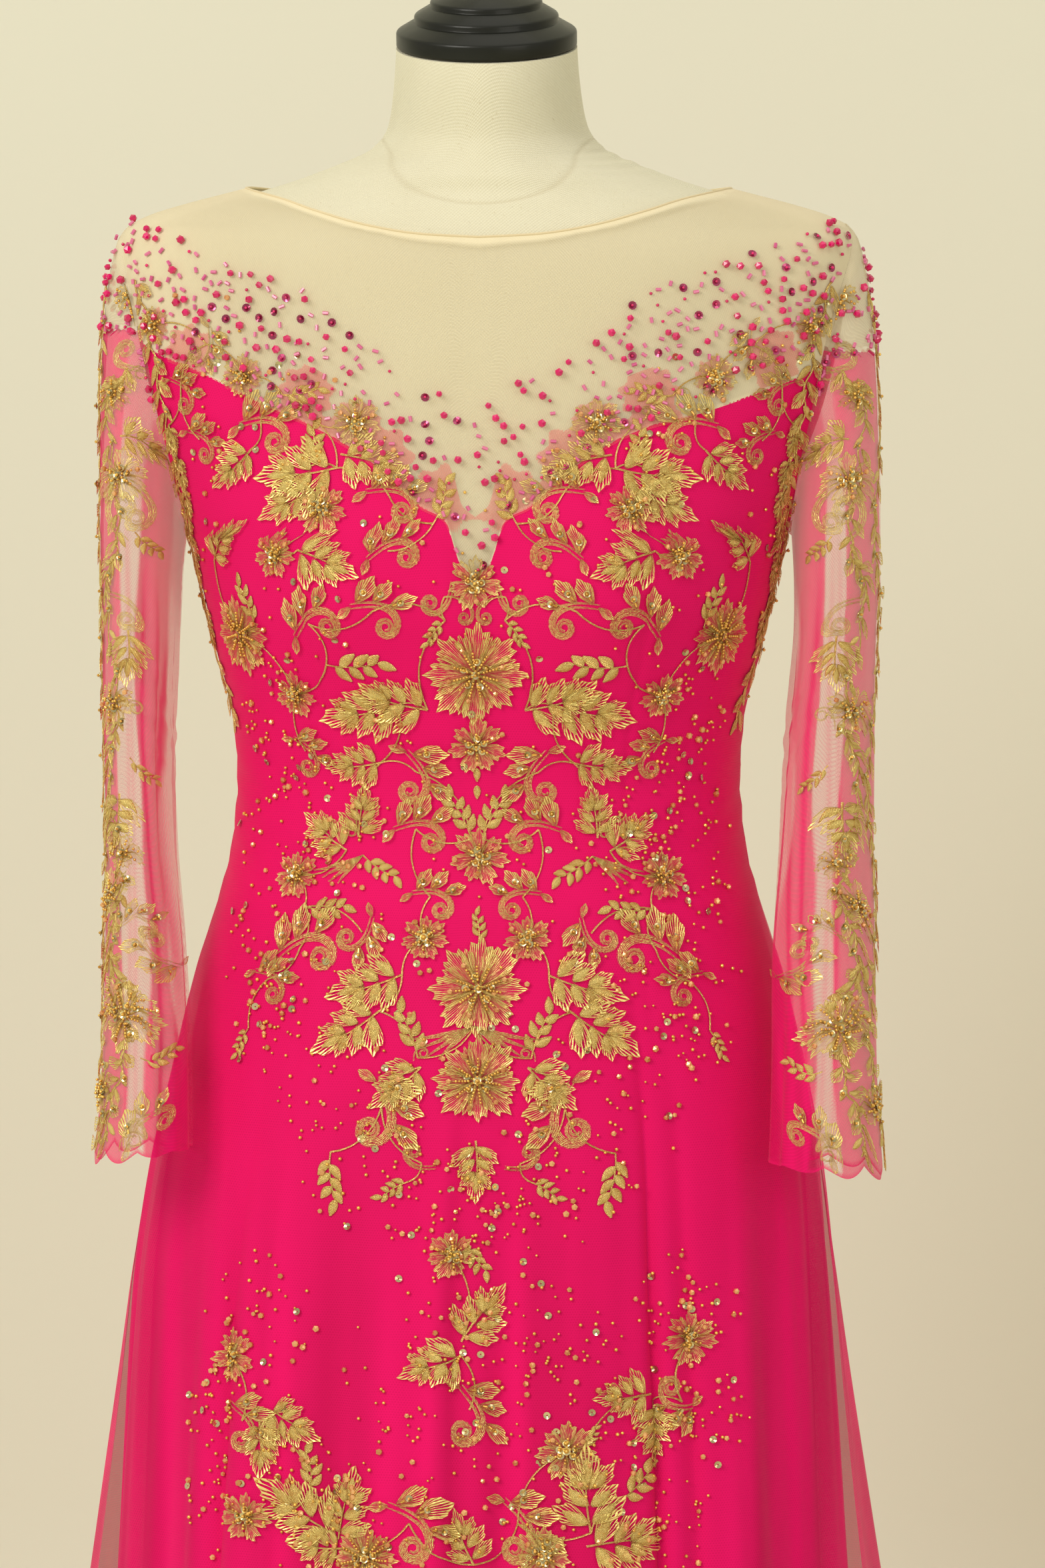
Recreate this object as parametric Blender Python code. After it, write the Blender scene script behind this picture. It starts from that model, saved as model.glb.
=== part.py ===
# An ao dai of pink tulle with a nude mesh yoke, on a limbless dress form.
# Metres, Z up. The front faces -Y, +X is the right of the picture, and the
# origin is the middle of the base's underside.
#
# The cloth follows one set of level sections. A point on it is given by its
# place across a panel, from -1 at one edge to 1 at the other, and its height.

import math
from collections import namedtuple
from functools import lru_cache

import bmesh
import bpy
from mathutils import Matrix, Vector

# Cloth
WALL = 0.0012                 # thickness of every cloth wall
EASE = 0.0019                 # air between the form and the cloth that fits it
SEAM = 0.0003                 # gap between two pieces at a seam
CORNER_GAP = 0.0016           # gap where two walls meet at an angle
LAYER_GAP = 0.0008            # air between the tulle and the top of its under layer
LAYER_OPENING = 0.0030        # what that grows by just below the top
UNDER_FOLD_SHARE = 0.50       # the under layer folds less than the tulle
UNDER_DRAW_IN = 0.016         # and hangs this much further in at the hem
UNDER_WIDTH = 0.955           # share of the tulle's width

# Heights of the garment
HEM = 0.034
SKIRT_SWAY = -0.004           # the flaps hang a little to the picture's left
UNDER_HEM = 0.046
SLIT_TOP = 1.008
UNDER_FLAP_TOP = 0.975
UNDERARM = 1.184
SHOULDER_TIP = 1.3535
OFF_SHOULDER = 1.298          # where nude mesh turns to pink on the sleeve
NECK_SIDE = 1.373             # the neckline at the shoulder seam
NECK_FRONT = 1.3485
NECK_BACK = 1.361

# Armhole and slit
ARMHOLE_FRONT = 0.045         # half-depth of the armhole, to the front
ARMHOLE_BACK = 0.048
SLIT_SPREAD = 0.030           # how much each slit edge draws back, per metre
SLIT_MOST = 0.004
WRAP_TOP = 0.800              # below this the back flap laps over the front one
WRAP_WIDTH = 0.024

# Where the sections and the rows of points change
HIP_TOP = 1.045               # the flaps' own sections begin below this height
LEVEL_BELOW = 1.125           # rows of the panels run level below this one
EMBROIDERY_FOOT = 0.600       # and lie close together down to here at the front
HIP_ROW = 0.935               # and down to here at the back
ARC_STEPS = 72                # steps in half a section

# Sleeves
SLEEVE_TUBE_TOP = 1.150       # the sleeve is a plain tube below this height
SLEEVE_HEMS = {-1: 0.845, 1: 0.839}    # the left sleeve hangs a little higher
SLEEVE_FULLNESS = 0.60        # how far the sleeve head stands out
SLEEVE_GIRTH_RADIUS = 0.040   # turns an angle round the sleeve into a distance
UNDERARM_BUNCH = 0.22         # the sleeve's columns lie closer on the outside
SCALLOP_COUNT = 8
SCALLOP_DEPTH = 0.009

# Form and stand
NECK_TOP = 1.4545
NECK_TILT = 0.18              # rise per metre towards the back
NECK_LEAN = -0.0165
FORM_BOTTOM = 0.722
FORM_INSET = 0.0016           # the form keeps this much further in under the cloth
POLE_RADIUS = 0.016

# Trim
BINDING_RADIUS = 0.0012       # the strip is a little thinner than its groove
BINDING_SHARE = 0.9
BINDING_RISE = 0.4            # in radii, above the cloth's edge
BINDING_SIDES = 5
BINDING_POINTS = 44
ZIP_TOP = 1.352
ZIP_FOOT = 1.010
ZIP_HALF_WIDTH = 0.0035
ZIP_THICKNESS = 0.0012
PULL_LENGTH = 0.022
PULL_WIDTH = 0.006
PULL_THICKNESS = 0.0014
PULL_LIFT = 0.0017            # the straight pull's middle above the curved back
PULL_BEVEL = 0.0004

PINK = (0.83, 0.008, 0.12)
DEEP_PINK = (0.62, 0.005, 0.09)
NUDE = (0.82, 0.66, 0.40)
BINDING_TAN = (0.62, 0.42, 0.20)
CANVAS = (0.84, 0.78, 0.58)
SATIN_BLACK = (0.012, 0.013, 0.011)
STEEL = (0.55, 0.55, 0.56)

FormRow = namedtuple("FormRow", "height half front back square")
SkirtRow = namedtuple("SkirtRow", "height half front back back_half back_deep")
SleeveRow = namedtuple("SleeveRow", "height inner outer middle depth")
Fold = namedtuple("Fold", "place width rise start")
Motif = namedtuple("Motif", "x height radius rise mirrored")
Step = namedtuple("Step", "radius height")

# Level sections of the form, bottom to top: half width, depth to the front
# and to the back, and the power of the oval, 2 for an ellipse
FORM_ROWS = [
    FormRow(0.722, 0.1630, 0.104, 0.108, 2.20),
    FormRow(0.740, 0.1680, 0.109, 0.114, 2.25),
    FormRow(0.800, 0.1700, 0.112, 0.119, 2.25),
    FormRow(0.850, 0.1680, 0.112, 0.120, 2.25),
    FormRow(0.900, 0.1600, 0.109, 0.114, 2.25),
    FormRow(0.950, 0.1490, 0.104, 0.102, 2.25),
    FormRow(0.990, 0.1410, 0.099, 0.092, 2.25),
    FormRow(1.025, 0.1386, 0.097, 0.087, 2.25),
    FormRow(1.045, 0.1388, 0.098, 0.087, 2.25),
    FormRow(1.078, 0.1410, 0.103, 0.090, 2.25),
    FormRow(1.118, 0.1508, 0.110, 0.097, 2.25),
    FormRow(1.150, 0.1578, 0.114, 0.102, 2.25),
    FormRow(1.184, 0.1660, 0.114, 0.105, 2.30),
    FormRow(1.220, 0.1790, 0.110, 0.107, 2.35),
    FormRow(1.256, 0.1920, 0.105, 0.106, 2.40),
    FormRow(1.300, 0.2020, 0.098, 0.100, 2.40),
    FormRow(1.335, 0.2060, 0.091, 0.091, 2.35),
    FormRow(1.345, 0.2050, 0.087, 0.086, 2.30),
    FormRow(1.352, 0.2010, 0.083, 0.081, 2.25),
    FormRow(1.358, 0.1900, 0.080, 0.077, 2.20),
    FormRow(1.364, 0.1710, 0.077, 0.074, 2.20),
    FormRow(1.370, 0.1480, 0.074, 0.071, 2.15),
    FormRow(1.376, 0.1250, 0.071, 0.068, 2.15),
    FormRow(1.382, 0.1030, 0.069, 0.065, 2.10),
    FormRow(1.389, 0.0840, 0.066, 0.062, 2.05),
    FormRow(1.398, 0.0650, 0.062, 0.058, 2.00),
    FormRow(1.410, 0.0560, 0.057, 0.054, 2.00),
    FormRow(1.425, 0.0530, 0.054, 0.052, 2.00),
    FormRow(1.446, 0.0510, 0.0515, 0.0505, 2.00),
    FormRow(1.456, 0.0505, 0.0505, 0.0500, 2.00),
]

# The inside of the flaps below the hips, bottom to top. The back tulle is
# wider than the rest and has columns of its own
SKIRT_ROWS = [
    SkirtRow(0.030, 0.250, 0.206, 0.240, 0.300, 0.300),
    SkirtRow(0.150, 0.238, 0.196, 0.226, 0.281, 0.272),
    SkirtRow(0.300, 0.225, 0.182, 0.206, 0.258, 0.238),
    SkirtRow(0.450, 0.211, 0.167, 0.186, 0.236, 0.206),
    SkirtRow(0.600, 0.201, 0.152, 0.166, 0.214, 0.176),
    SkirtRow(0.700, 0.196, 0.144, 0.153, 0.202, 0.158),
    SkirtRow(0.770, 0.192, 0.138, 0.144, 0.195, 0.146),
    SkirtRow(0.828, 0.186, 0.132, 0.136, 0.187, 0.137),
    SkirtRow(0.880, 0.176, 0.125, 0.127, 0.176, 0.127),
    SkirtRow(0.935, 0.163, 0.116, 0.115, 0.163, 0.115),
    SkirtRow(0.976, 0.1500, 0.107, 0.0995, 0.1500, 0.0995),
    SkirtRow(1.008, 0.1420, 0.100, 0.0905, 0.1420, 0.0905),
    SkirtRow(1.045, 0.1388, 0.098, 0.087, 0.1388, 0.087),
    SkirtRow(1.078, 0.1410, 0.103, 0.090, 0.1410, 0.090),
]

# The hanging sleeve below the underarm: its inner and outer side as half
# spans, and where it lies front to back
RIGHT_SLEEVE_ROWS = [
    SleeveRow(0.810, 0.161, 0.227, -0.104, 0.034),
    SleeveRow(0.890, 0.163, 0.221, -0.080, 0.037),
    SleeveRow(0.950, 0.162, 0.219, -0.054, 0.041),
    SleeveRow(1.010, 0.165, 0.217, -0.028, 0.045),
    SleeveRow(1.070, 0.168, 0.217, -0.012, 0.049),
    SleeveRow(1.130, 0.172, 0.218, -0.004, 0.053),
    SleeveRow(1.190, 0.171, 0.227, 0.000, 0.056),
]
LEFT_SLEEVE_ROWS = [
    SleeveRow(0.810, 0.159, 0.216, -0.106, 0.033),
    SleeveRow(0.890, 0.161, 0.210, -0.084, 0.037),
    SleeveRow(0.950, 0.166, 0.211, -0.058, 0.041),
    SleeveRow(1.010, 0.174, 0.213, -0.030, 0.046),
    SleeveRow(1.070, 0.177, 0.215, -0.012, 0.051),
    SleeveRow(1.130, 0.174, 0.217, -0.004, 0.055),
    SleeveRow(1.190, 0.171, 0.219, 0.000, 0.058),
]

# Lengthwise folds of the flaps: place across, half width across, rise at the
# hem (a trough is negative) and the height where each begins
FRONT_FOLDS = [
    Fold(-0.86, 0.060, 0.012, 0.86),
    Fold(-0.68, 0.065, -0.010, 0.90),
    Fold(-0.50, 0.070, 0.013, 0.84),
    Fold(-0.30, 0.060, -0.011, 0.88),
    Fold(-0.11, 0.070, 0.010, 0.80),
    Fold(0.09, 0.065, -0.010, 0.84),
    Fold(0.26, 0.060, 0.012, 0.90),
    Fold(0.41, 0.052, -0.019, 0.96),
    Fold(0.57, 0.070, 0.015, 0.93),
    Fold(0.74, 0.060, -0.011, 0.86),
    Fold(0.88, 0.060, 0.012, 0.82),
]
BACK_FOLDS = [
    Fold(-0.84, 0.070, 0.020, 0.86),
    Fold(-0.62, 0.080, -0.018, 0.84),
    Fold(-0.40, 0.075, 0.022, 0.92),
    Fold(-0.19, 0.070, -0.017, 0.86),
    Fold(0.02, 0.075, 0.021, 0.90),
    Fold(0.23, 0.070, -0.019, 0.94),
    Fold(0.44, 0.075, 0.018, 0.86),
    Fold(0.64, 0.075, -0.020, 0.88),
    Fold(0.84, 0.070, 0.019, 0.84),
]

# The largest appliques on the front panel, seen from the front
FRONT_MOTIFS = [
    Motif(0.000, 1.153, 0.015, 0.0013, False),
    Motif(0.000, 1.104, 0.026, 0.0018, False),
    Motif(0.000, 1.064, 0.017, 0.0014, False),
    Motif(0.000, 0.998, 0.016, 0.0014, False),
    Motif(0.000, 0.926, 0.026, 0.0018, False),
    Motif(0.000, 0.871, 0.026, 0.0018, False),
    Motif(0.000, 0.823, 0.017, 0.0013, False),
    Motif(-0.019, 0.781, 0.015, 0.0014, False),
    Motif(-0.008, 0.733, 0.020, 0.0012, False),
    Motif(-0.014, 0.690, 0.018, 0.0012, False),
    Motif(0.067, 1.232, 0.014, 0.0013, True),
    Motif(0.118, 1.232, 0.020, 0.0012, True),
    Motif(0.087, 1.197, 0.016, 0.0014, True),
    Motif(0.060, 1.180, 0.018, 0.0012, True),
    Motif(0.133, 1.180, 0.018, 0.0012, True),
    Motif(0.094, 1.168, 0.017, 0.0012, True),
    Motif(0.132, 1.130, 0.025, 0.0018, True),
    Motif(0.072, 1.136, 0.022, 0.0012, True),
    Motif(0.104, 1.098, 0.015, 0.0014, True),
    Motif(0.050, 1.090, 0.021, 0.0012, True),
    Motif(0.086, 1.060, 0.020, 0.0012, True),
    Motif(0.038, 1.040, 0.018, 0.0012, True),
    Motif(0.080, 1.018, 0.020, 0.0012, True),
    Motif(0.102, 0.984, 0.016, 0.0014, True),
    Motif(0.050, 0.984, 0.018, 0.0012, True),
    Motif(0.090, 0.952, 0.019, 0.0012, True),
    Motif(0.062, 0.925, 0.021, 0.0012, True),
    Motif(0.030, 0.958, 0.015, 0.0014, True),
    Motif(0.062, 0.870, 0.020, 0.0012, True),
    Motif(0.040, 0.815, 0.017, 0.0012, True),
    Motif(0.132, 0.728, 0.017, 0.0014, True),
    Motif(0.112, 0.682, 0.022, 0.0012, True),
    Motif(0.130, 0.632, 0.016, 0.0014, True),
    Motif(0.086, 0.640, 0.022, 0.0012, True),
    Motif(0.058, 0.610, 0.018, 0.0014, True),
    Motif(0.020, 0.590, 0.020, 0.0012, True),
]

# The lace down the outside of each sleeve: x is the distance round the
# sleeve from its outer line, to the front
SLEEVE_MOTIFS = [
    Motif(0.004, 1.318, 0.014, 0.0013, False),
    Motif(0.022, 1.285, 0.013, 0.0012, False),
    Motif(0.004, 1.232, 0.017, 0.0016, False),
    Motif(-0.016, 1.190, 0.013, 0.0012, False),
    Motif(0.006, 1.150, 0.014, 0.0012, False),
    Motif(-0.004, 1.104, 0.016, 0.0016, False),
    Motif(0.014, 1.060, 0.014, 0.0012, False),
    Motif(-0.004, 1.014, 0.015, 0.0012, False),
    Motif(0.008, 0.972, 0.018, 0.0016, False),
    Motif(0.034, 0.936, 0.016, 0.0012, False),
    Motif(-0.012, 0.930, 0.014, 0.0012, False),
    Motif(0.006, 0.892, 0.018, 0.0016, False),
    Motif(-0.020, 0.860, 0.015, 0.0012, False),
    Motif(0.030, 0.848, 0.016, 0.0012, False),
]

# The neck cap from its underside up: the outline of its turned steps
CAP_STEPS = [
    Step(0.0490, 0.0000),
    Step(0.0505, 0.0012),
    Step(0.0505, 0.0085),
    Step(0.0490, 0.0100),
    Step(0.0435, 0.0112),
    Step(0.0405, 0.0130),
    Step(0.0405, 0.0185),
    Step(0.0385, 0.0198),
    Step(0.0350, 0.0206),
    Step(0.0335, 0.0222),
    Step(0.0330, 0.0262),
    Step(0.0285, 0.0292),
    Step(0.0150, 0.0318),
]
BASE_STEPS = [
    Step(0.1550, 0.0000),
    Step(0.1550, 0.0110),
    Step(0.1530, 0.0145),
    Step(0.1470, 0.0165),
    Step(0.0340, 0.0180),
    Step(0.0290, 0.0220),
    Step(0.0260, 0.0300),
]
COLLAR_STEPS = [
    Step(0.0300, -0.0360),
    Step(0.0300, -0.0040),
    Step(0.0520, -0.0010),
    Step(0.0520, 0.0000),
]


def clear_scene():
    for obj in list(bpy.data.objects):
        bpy.data.objects.remove(obj)


def make_material(name, colour, roughness, metallic=0.0):
    material = bpy.data.materials.new(name)
    material.use_nodes = True
    shader = material.node_tree.nodes["Principled BSDF"]
    shader.inputs["Base Color"].default_value = (*colour, 1.0)
    shader.inputs["Roughness"].default_value = roughness
    shader.inputs["Metallic"].default_value = metallic
    return material


def keep_mesh(name, mesh_data, material, smooth_angle=40):
    # Turn the bmesh into a named object, smooth but for its sharp edges
    bmesh.ops.recalc_face_normals(mesh_data, faces=mesh_data.faces)
    mesh = bpy.data.meshes.new(name)
    mesh_data.to_mesh(mesh)
    mesh_data.free()
    mesh.shade_smooth()
    mesh.set_sharp_from_angle(angle=math.radians(smooth_angle))
    mesh.materials.append(material)
    obj = bpy.data.objects.new(name, mesh)
    bpy.context.scene.collection.objects.link(obj)
    return obj


def smooth_step(value):
    value = min(1.0, max(0.0, value))
    return value * value * (3.0 - 2.0 * value)


def slopes(heights, values):
    # Slopes for a smooth curve through the values that never overshoots them
    steps = [b - a for a, b in zip(heights, heights[1:])]
    rises = [(b - a) / step for a, b, step in zip(values, values[1:], steps)]
    inner = []
    for i in range(1, len(values) - 1):
        before, after = rises[i - 1], rises[i]
        if before * after <= 0.0:
            inner.append(0.0)
            continue
        near = 2.0 * steps[i] + steps[i - 1]
        far = steps[i] + 2.0 * steps[i - 1]
        inner.append((near + far) / (near / before + far / after))
    return [rises[0]] + inner + [rises[-1]]


class Sections:
    # Rows of one table, read at any height

    def __init__(self, rows):
        self.rows = rows
        self.kind = type(rows[0])
        self.heights = [row.height for row in rows]
        columns = list(zip(*rows))
        self.slopes = [slopes(self.heights, list(column)) for column in columns]

    def at(self, height):
        height = min(max(height, self.heights[0]), self.heights[-1])
        i = 0
        while i < len(self.rows) - 2 and height > self.heights[i + 1]:
            i += 1
        step = self.heights[i + 1] - self.heights[i]
        t = (height - self.heights[i]) / step
        values = []
        for column, slope in enumerate(self.slopes):
            a, b = self.rows[i][column], self.rows[i + 1][column]
            rise = (2 * t**3 - 3 * t**2 + 1) * a + (3 * t**2 - 2 * t**3) * b
            lean = (t**3 - 2 * t**2 + t) * slope[i] + (t**3 - t**2) * slope[i + 1]
            values.append(rise + step * lean)
        return self.kind(*values)


FORM = Sections(FORM_ROWS)
SKIRT = Sections(SKIRT_ROWS)
SLEEVES = {-1: Sections(LEFT_SLEEVE_ROWS), 1: Sections(RIGHT_SLEEVE_ROWS)}


@lru_cache(maxsize=None)
def cloth_row(height, layer):
    # The section that the cloth's inside follows at this height
    if height >= HIP_TOP:
        return FORM.at(height)
    row = SKIRT.at(height)
    if layer == "back tulle":
        return FormRow(height, row.back_half, row.front, row.back_deep, 2.25)
    return FormRow(height, row.half, row.front, row.back, 2.25)


def bust(x, height):
    # How far the two cups stand forward of the plain section
    across = math.exp(-(((abs(x) - 0.078) / 0.050) ** 2))
    spread = 0.062 if height > 1.150 else 0.040
    return 0.012 * across * math.exp(-(((height - 1.150) / spread) ** 2))


def neck_place(height):
    # The neck leans forward, and its rings tilt with it
    t = smooth_step((height - 1.375) / (NECK_TOP - 1.375))
    return NECK_LEAN * t, NECK_TILT * t


def form_point(height, turn):
    # The canvas: the plain section, a little slimmer where the cloth covers it
    row = FORM.at(height)
    point = ring_point(row, turn)
    step = 0.002
    around = ring_point(row, turn + step) - ring_point(row, turn - step)
    upward = ring_point(FORM.at(height + step), turn) - ring_point(FORM.at(height - step), turn)
    normal = around.cross(upward).normalized()
    if normal.dot(Vector((point.x, point.y, 0.02))) < 0.0:
        normal = -normal
    covered = 1.0 - smooth_step((height - NECK_SIDE) / 0.012)
    shoulder = 1.0 + 1.4 * smooth_step((abs(point.x) - 0.140) / 0.040)
    return point - normal * FORM_INSET * covered * shoulder


def ring_point(row, turn):
    # Turn is 0 at the front and grows towards +X
    power = 2.0 / row.square
    side, ahead = math.sin(turn), math.cos(turn)
    x = row.half * math.copysign(abs(side) ** power, side)
    depth = row.front if ahead > 0.0 else row.back
    y = -depth * math.copysign(abs(ahead) ** power, ahead)
    if ahead > 0.0:
        y -= bust(x, row.height) * smooth_step(ahead * 2.0)
    shift, tilt = neck_place(row.height)
    sway = SKIRT_SWAY * smooth_step((0.90 - row.height) / 0.15)
    return Vector((x + sway, y + shift, row.height + tilt * y))


def spread_evenly(points, count):
    # Points at equal distances along a line of points
    lengths = [0.0]
    for a, b in zip(points, points[1:]):
        lengths.append(lengths[-1] + (b - a).length)
    out = []
    i = 0
    for k in range(count):
        want = lengths[-1] * k / (count - 1)
        while i < len(points) - 2 and lengths[i + 1] < want:
            i += 1
        t = (want - lengths[i]) / (lengths[i + 1] - lengths[i])
        out.append(points[i].lerp(points[i + 1], t))
    return out


def edge_depth(height, layer):
    # How far the panel's edge stops short of the side: at the oval of the
    # armhole, the side seam and the slit. Below zero it goes round the side
    if height > UNDERARM:
        middle = 0.5 * (UNDERARM + SHOULDER_TIP)
        reach = (height - middle) / (SHOULDER_TIP - middle)
        if reach >= 1.0:
            return 0.5 * SEAM
        oval = ARMHOLE_FRONT if layer.startswith("front") else ARMHOLE_BACK
        return 0.5 * SEAM + oval * math.sqrt(1.0 - reach * reach)
    opened = min(SLIT_MOST, max(0.0, SLIT_TOP - height) * SLIT_SPREAD)
    if layer == "back tulle":
        opened -= WRAP_WIDTH * smooth_step((WRAP_TOP - height) / 0.25)
    return 0.5 * SEAM + opened


@lru_cache(maxsize=None)
def half_arc(height, layer):
    # Half a panel at this height: points from its middle to its edge, and
    # the length to each
    is_front = layer.startswith("front")
    row = cloth_row(height, layer)
    short = edge_depth(height, layer)
    depth = row.front if is_front or short < 0.0 else row.back
    ahead = min(1.0, (abs(short) / depth) ** (row.square / 2.0))
    last = math.acos(math.copysign(ahead, short))
    points, lengths = [], [0.0]
    for i in range(ARC_STEPS + 1):
        turn = last * i / ARC_STEPS
        points.append(ring_point(row, turn if is_front else math.pi - turn))
        if i:
            lengths.append(lengths[-1] + (points[i] - points[i - 1]).length)
    return points, lengths


def fold_rise(across, height, folds):
    # Each fold starts softly and deepens towards the hem
    total = 0.0
    for fold in folds:
        drop = (fold.start - height) / (fold.start - HEM)
        if drop <= 0.0:
            continue
        near = math.exp(-(((across - fold.place) / fold.width) ** 2))
        total += fold.rise * near * drop ** 0.8
    return total


def panel_point(layer, across, height):
    # A point of a panel's plain surface, without its thickness
    height = round(height, 7)
    points, lengths = half_arc(height, layer)
    want = min(1.0, abs(across)) * lengths[-1]
    low, high = 0, ARC_STEPS
    while high - low > 1:
        middle = (low + high) // 2
        if lengths[middle] <= want:
            low = middle
        else:
            high = middle
    t = (want - lengths[low]) / (lengths[high] - lengths[low])
    point = points[low].lerp(points[high], t)
    if across < 0.0:
        middle = points[0].x
        point.x = 2.0 * middle - point.x
    return point


def surface_normal(surface, across, height, outward):
    # From the differences between points close by
    small_across, small_height = 0.004, 0.0015
    a = surface(min(1.0, across + small_across), height)
    b = surface(max(-1.0, across - small_across), height)
    c = surface(across, height + small_height)
    d = surface(across, height - small_height)
    normal = (a - b).cross(c - d).normalized()
    return normal if normal.dot(outward) > 0.0 else -normal


def panel(layer, folds=()):
    # The surface of a panel as a function of place, height and distance out
    def surface(across, height):
        return panel_point(layer, across, height)

    def place(across, height, out):
        point = surface(across, height)
        away = Vector((point.x, point.y, 0.02))
        normal = surface_normal(surface, across, height, away)
        return point + normal * (out + fold_rise(across, height, folds))

    return place


def build_wall(name, grid_in, grid_out, material, closed=False):
    # A wall from two grids of points. The outer grid may be twice as fine
    # as the inner one, so that relief is raised over a plain inside. Closed
    # grids join their last column to their first.
    mesh_data = bmesh.new()
    inner = [[mesh_data.verts.new(p) for p in row] for row in grid_in]
    outer = [[mesh_data.verts.new(p) for p in row] for row in grid_out]

    def skin(rows):
        for low, high in zip(rows, rows[1:]):
            count = len(low) if closed else len(low) - 1
            for i in range(count):
                j = (i + 1) % len(low)
                mesh_data.faces.new((low[i], low[j], high[j], high[i]))

    def rim(fine, coarse, loop):
        ratio = max(1, round((len(fine) - 0.5) / (len(coarse) - 0.5)))
        count = len(coarse) if loop else len(coarse) - 1
        for k in range(count):
            start, end = coarse[k], coarse[(k + 1) % len(coarse)]
            run = [fine[(k * ratio + m) % len(fine)] for m in range(ratio + 1)]
            if ratio == 1:
                mesh_data.faces.new((run[0], run[1], end, start))
                continue
            mesh_data.faces.new((run[0], run[1], start))
            mesh_data.faces.new((run[1], end, start))
            mesh_data.faces.new((run[1], run[2], end))

    skin(inner)
    skin(outer)
    rim(outer[0], inner[0], closed)
    rim(outer[-1], inner[-1], closed)
    if not closed:
        for side in (0, -1):
            rim([row[side] for row in outer], [row[side] for row in inner], False)
    return keep_mesh(name, mesh_data, material)


def steps_between(first, last, count):
    return [first + (last - first) * i / (count - 1) for i in range(count)]


def column_heights(place, across, low, high, count):
    # Heights for one column, at equal distances along the cloth
    fine = [place(across, h, 0.0) for h in steps_between(low, high, 25)]
    return [p.z for p in spread_evenly(fine, count)]


def panel_wall(name, place, heights, columns, rows, material, relief=None,
               inside=EASE, even=False, coarser=(2, 1)):
    # A panel between two edges given as heights for each place across. Its
    # inner side has every point, or every second one, across and down
    def grid(column_count, row_count, out, raised):
        lines = []
        for across in steps_between(-1.0, 1.0, column_count):
            low, high = heights(across)
            if even:
                levels = column_heights(place, across, low, high, row_count)
            else:
                levels = rows(low, high, row_count)
            line = []
            for level in levels:
                rise = relief(place, across, level) if raised and relief else 0.0
                line.append(place(across, level, out + rise))
            lines.append(line)
        return [list(line) for line in zip(*lines)]

    column_count, row_count = columns
    fine = grid(column_count, row_count, inside + WALL, True)
    inner_columns = (column_count - 1) // coarser[0] + 1
    coarse = grid(inner_columns, row_count, inside, False)[::coarser[1]]
    return build_wall(name, coarse, fine, material)


def table_line(points, x):
    # A straight line between the points of a short table
    x = min(max(x, points[0][0]), points[-1][0])
    for (x0, z0), (x1, z1) in zip(points, points[1:]):
        if x <= x1:
            return z0 + (z1 - z0) * (x - x0) / (x1 - x0)
    return points[-1][1]


# The sweetheart edge: half span and height
SWEETHEART = [
    (0.000, 1.1640), (0.008, 1.1700), (0.017, 1.1950), (0.030, 1.2020),
    (0.055, 1.2240), (0.081, 1.2410), (0.095, 1.2480), (0.119, 1.2580),
    (0.140, 1.2680), (0.157, 1.2760), (0.180, 1.2850), (0.200, 1.2980),
]
BACK_EDGE = [
    (0.000, 1.236), (0.040, 1.238), (0.090, 1.250), (0.140, 1.270), (0.200, 1.298),
]
# The neckline: half span and height
NECKLINE_FRONT = [
    (0.000, NECK_FRONT), (0.030, 1.3500), (0.060, 1.3545), (0.090, 1.3620),
    (0.115, 1.3690), (0.135, NECK_SIDE),
]
NECKLINE_BACK = [
    (0.000, NECK_BACK), (0.050, 1.3630), (0.090, 1.3670), (0.135, NECK_SIDE),
]


@lru_cache(maxsize=None)
def edge_height(layer, line, across):
    # Where the column at this place across meets an edge line
    points = {
        "sweetheart": SWEETHEART, "back edge": BACK_EDGE,
        "neck front": NECKLINE_FRONT, "neck back": NECKLINE_BACK,
    }[line]
    height = points[-1][1]
    if line.startswith("neck") and abs(across) >= 1.0:
        return NECK_SIDE
    for _ in range(40):
        reach = abs(panel_point(layer, across, height).x)
        height += 0.4 * (table_line(points, reach) - height)
    return height


def seam_slant(layer, line, across):
    # How much longer than the gap itself a seam's gap is, measured upright
    step = 0.01
    a = max(-1.0, across - step)
    b = min(1.0, across + step)
    low, high = edge_height(layer, line, round(a, 6)), edge_height(layer, line, round(b, 6))
    run = (panel_point(layer, b, high) - panel_point(layer, a, low))
    return 2.0 * run.length / max(1e-6, math.hypot(run.x, run.y))


def front_relief(place, across, height):
    # Applique that stands proud of the front panel
    point = place(across, height, 0.0)
    return motif_rise(FRONT_MOTIFS, point.x, height)


def motif_rise(motifs, x, height):
    most = 0.0
    for motif in motifs:
        reach = abs(x) if motif.mirrored else x
        far = math.hypot(reach - motif.x, height - motif.height)
        if far < motif.radius:
            most = max(most, motif.rise * smooth_step(1.5 * (1.0 - far / motif.radius)))
    return most


def under_layer(layer, folds):
    # The opaque flap inside the tulle: narrower, plainer and drawn in
    calm = [fold._replace(rise=fold.rise * UNDER_FOLD_SHARE) for fold in folds]
    place = panel(layer, calm)

    def under(across, height, out):
        drop = max(0.0, UNDER_FLAP_TOP - height) / (UNDER_FLAP_TOP - HEM)
        inward = LAYER_OPENING * smooth_step(12.0 * drop) + UNDER_DRAW_IN * drop ** 0.8
        return place(UNDER_WIDTH * across, height, out - inward)

    return under


FRONT = panel("front", FRONT_FOLDS)
BACK_TULLE = panel("back tulle", BACK_FOLDS)
FRONT_UNDER = under_layer("front", FRONT_FOLDS)
BACK_UNDER = under_layer("back under", BACK_FOLDS)


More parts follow.
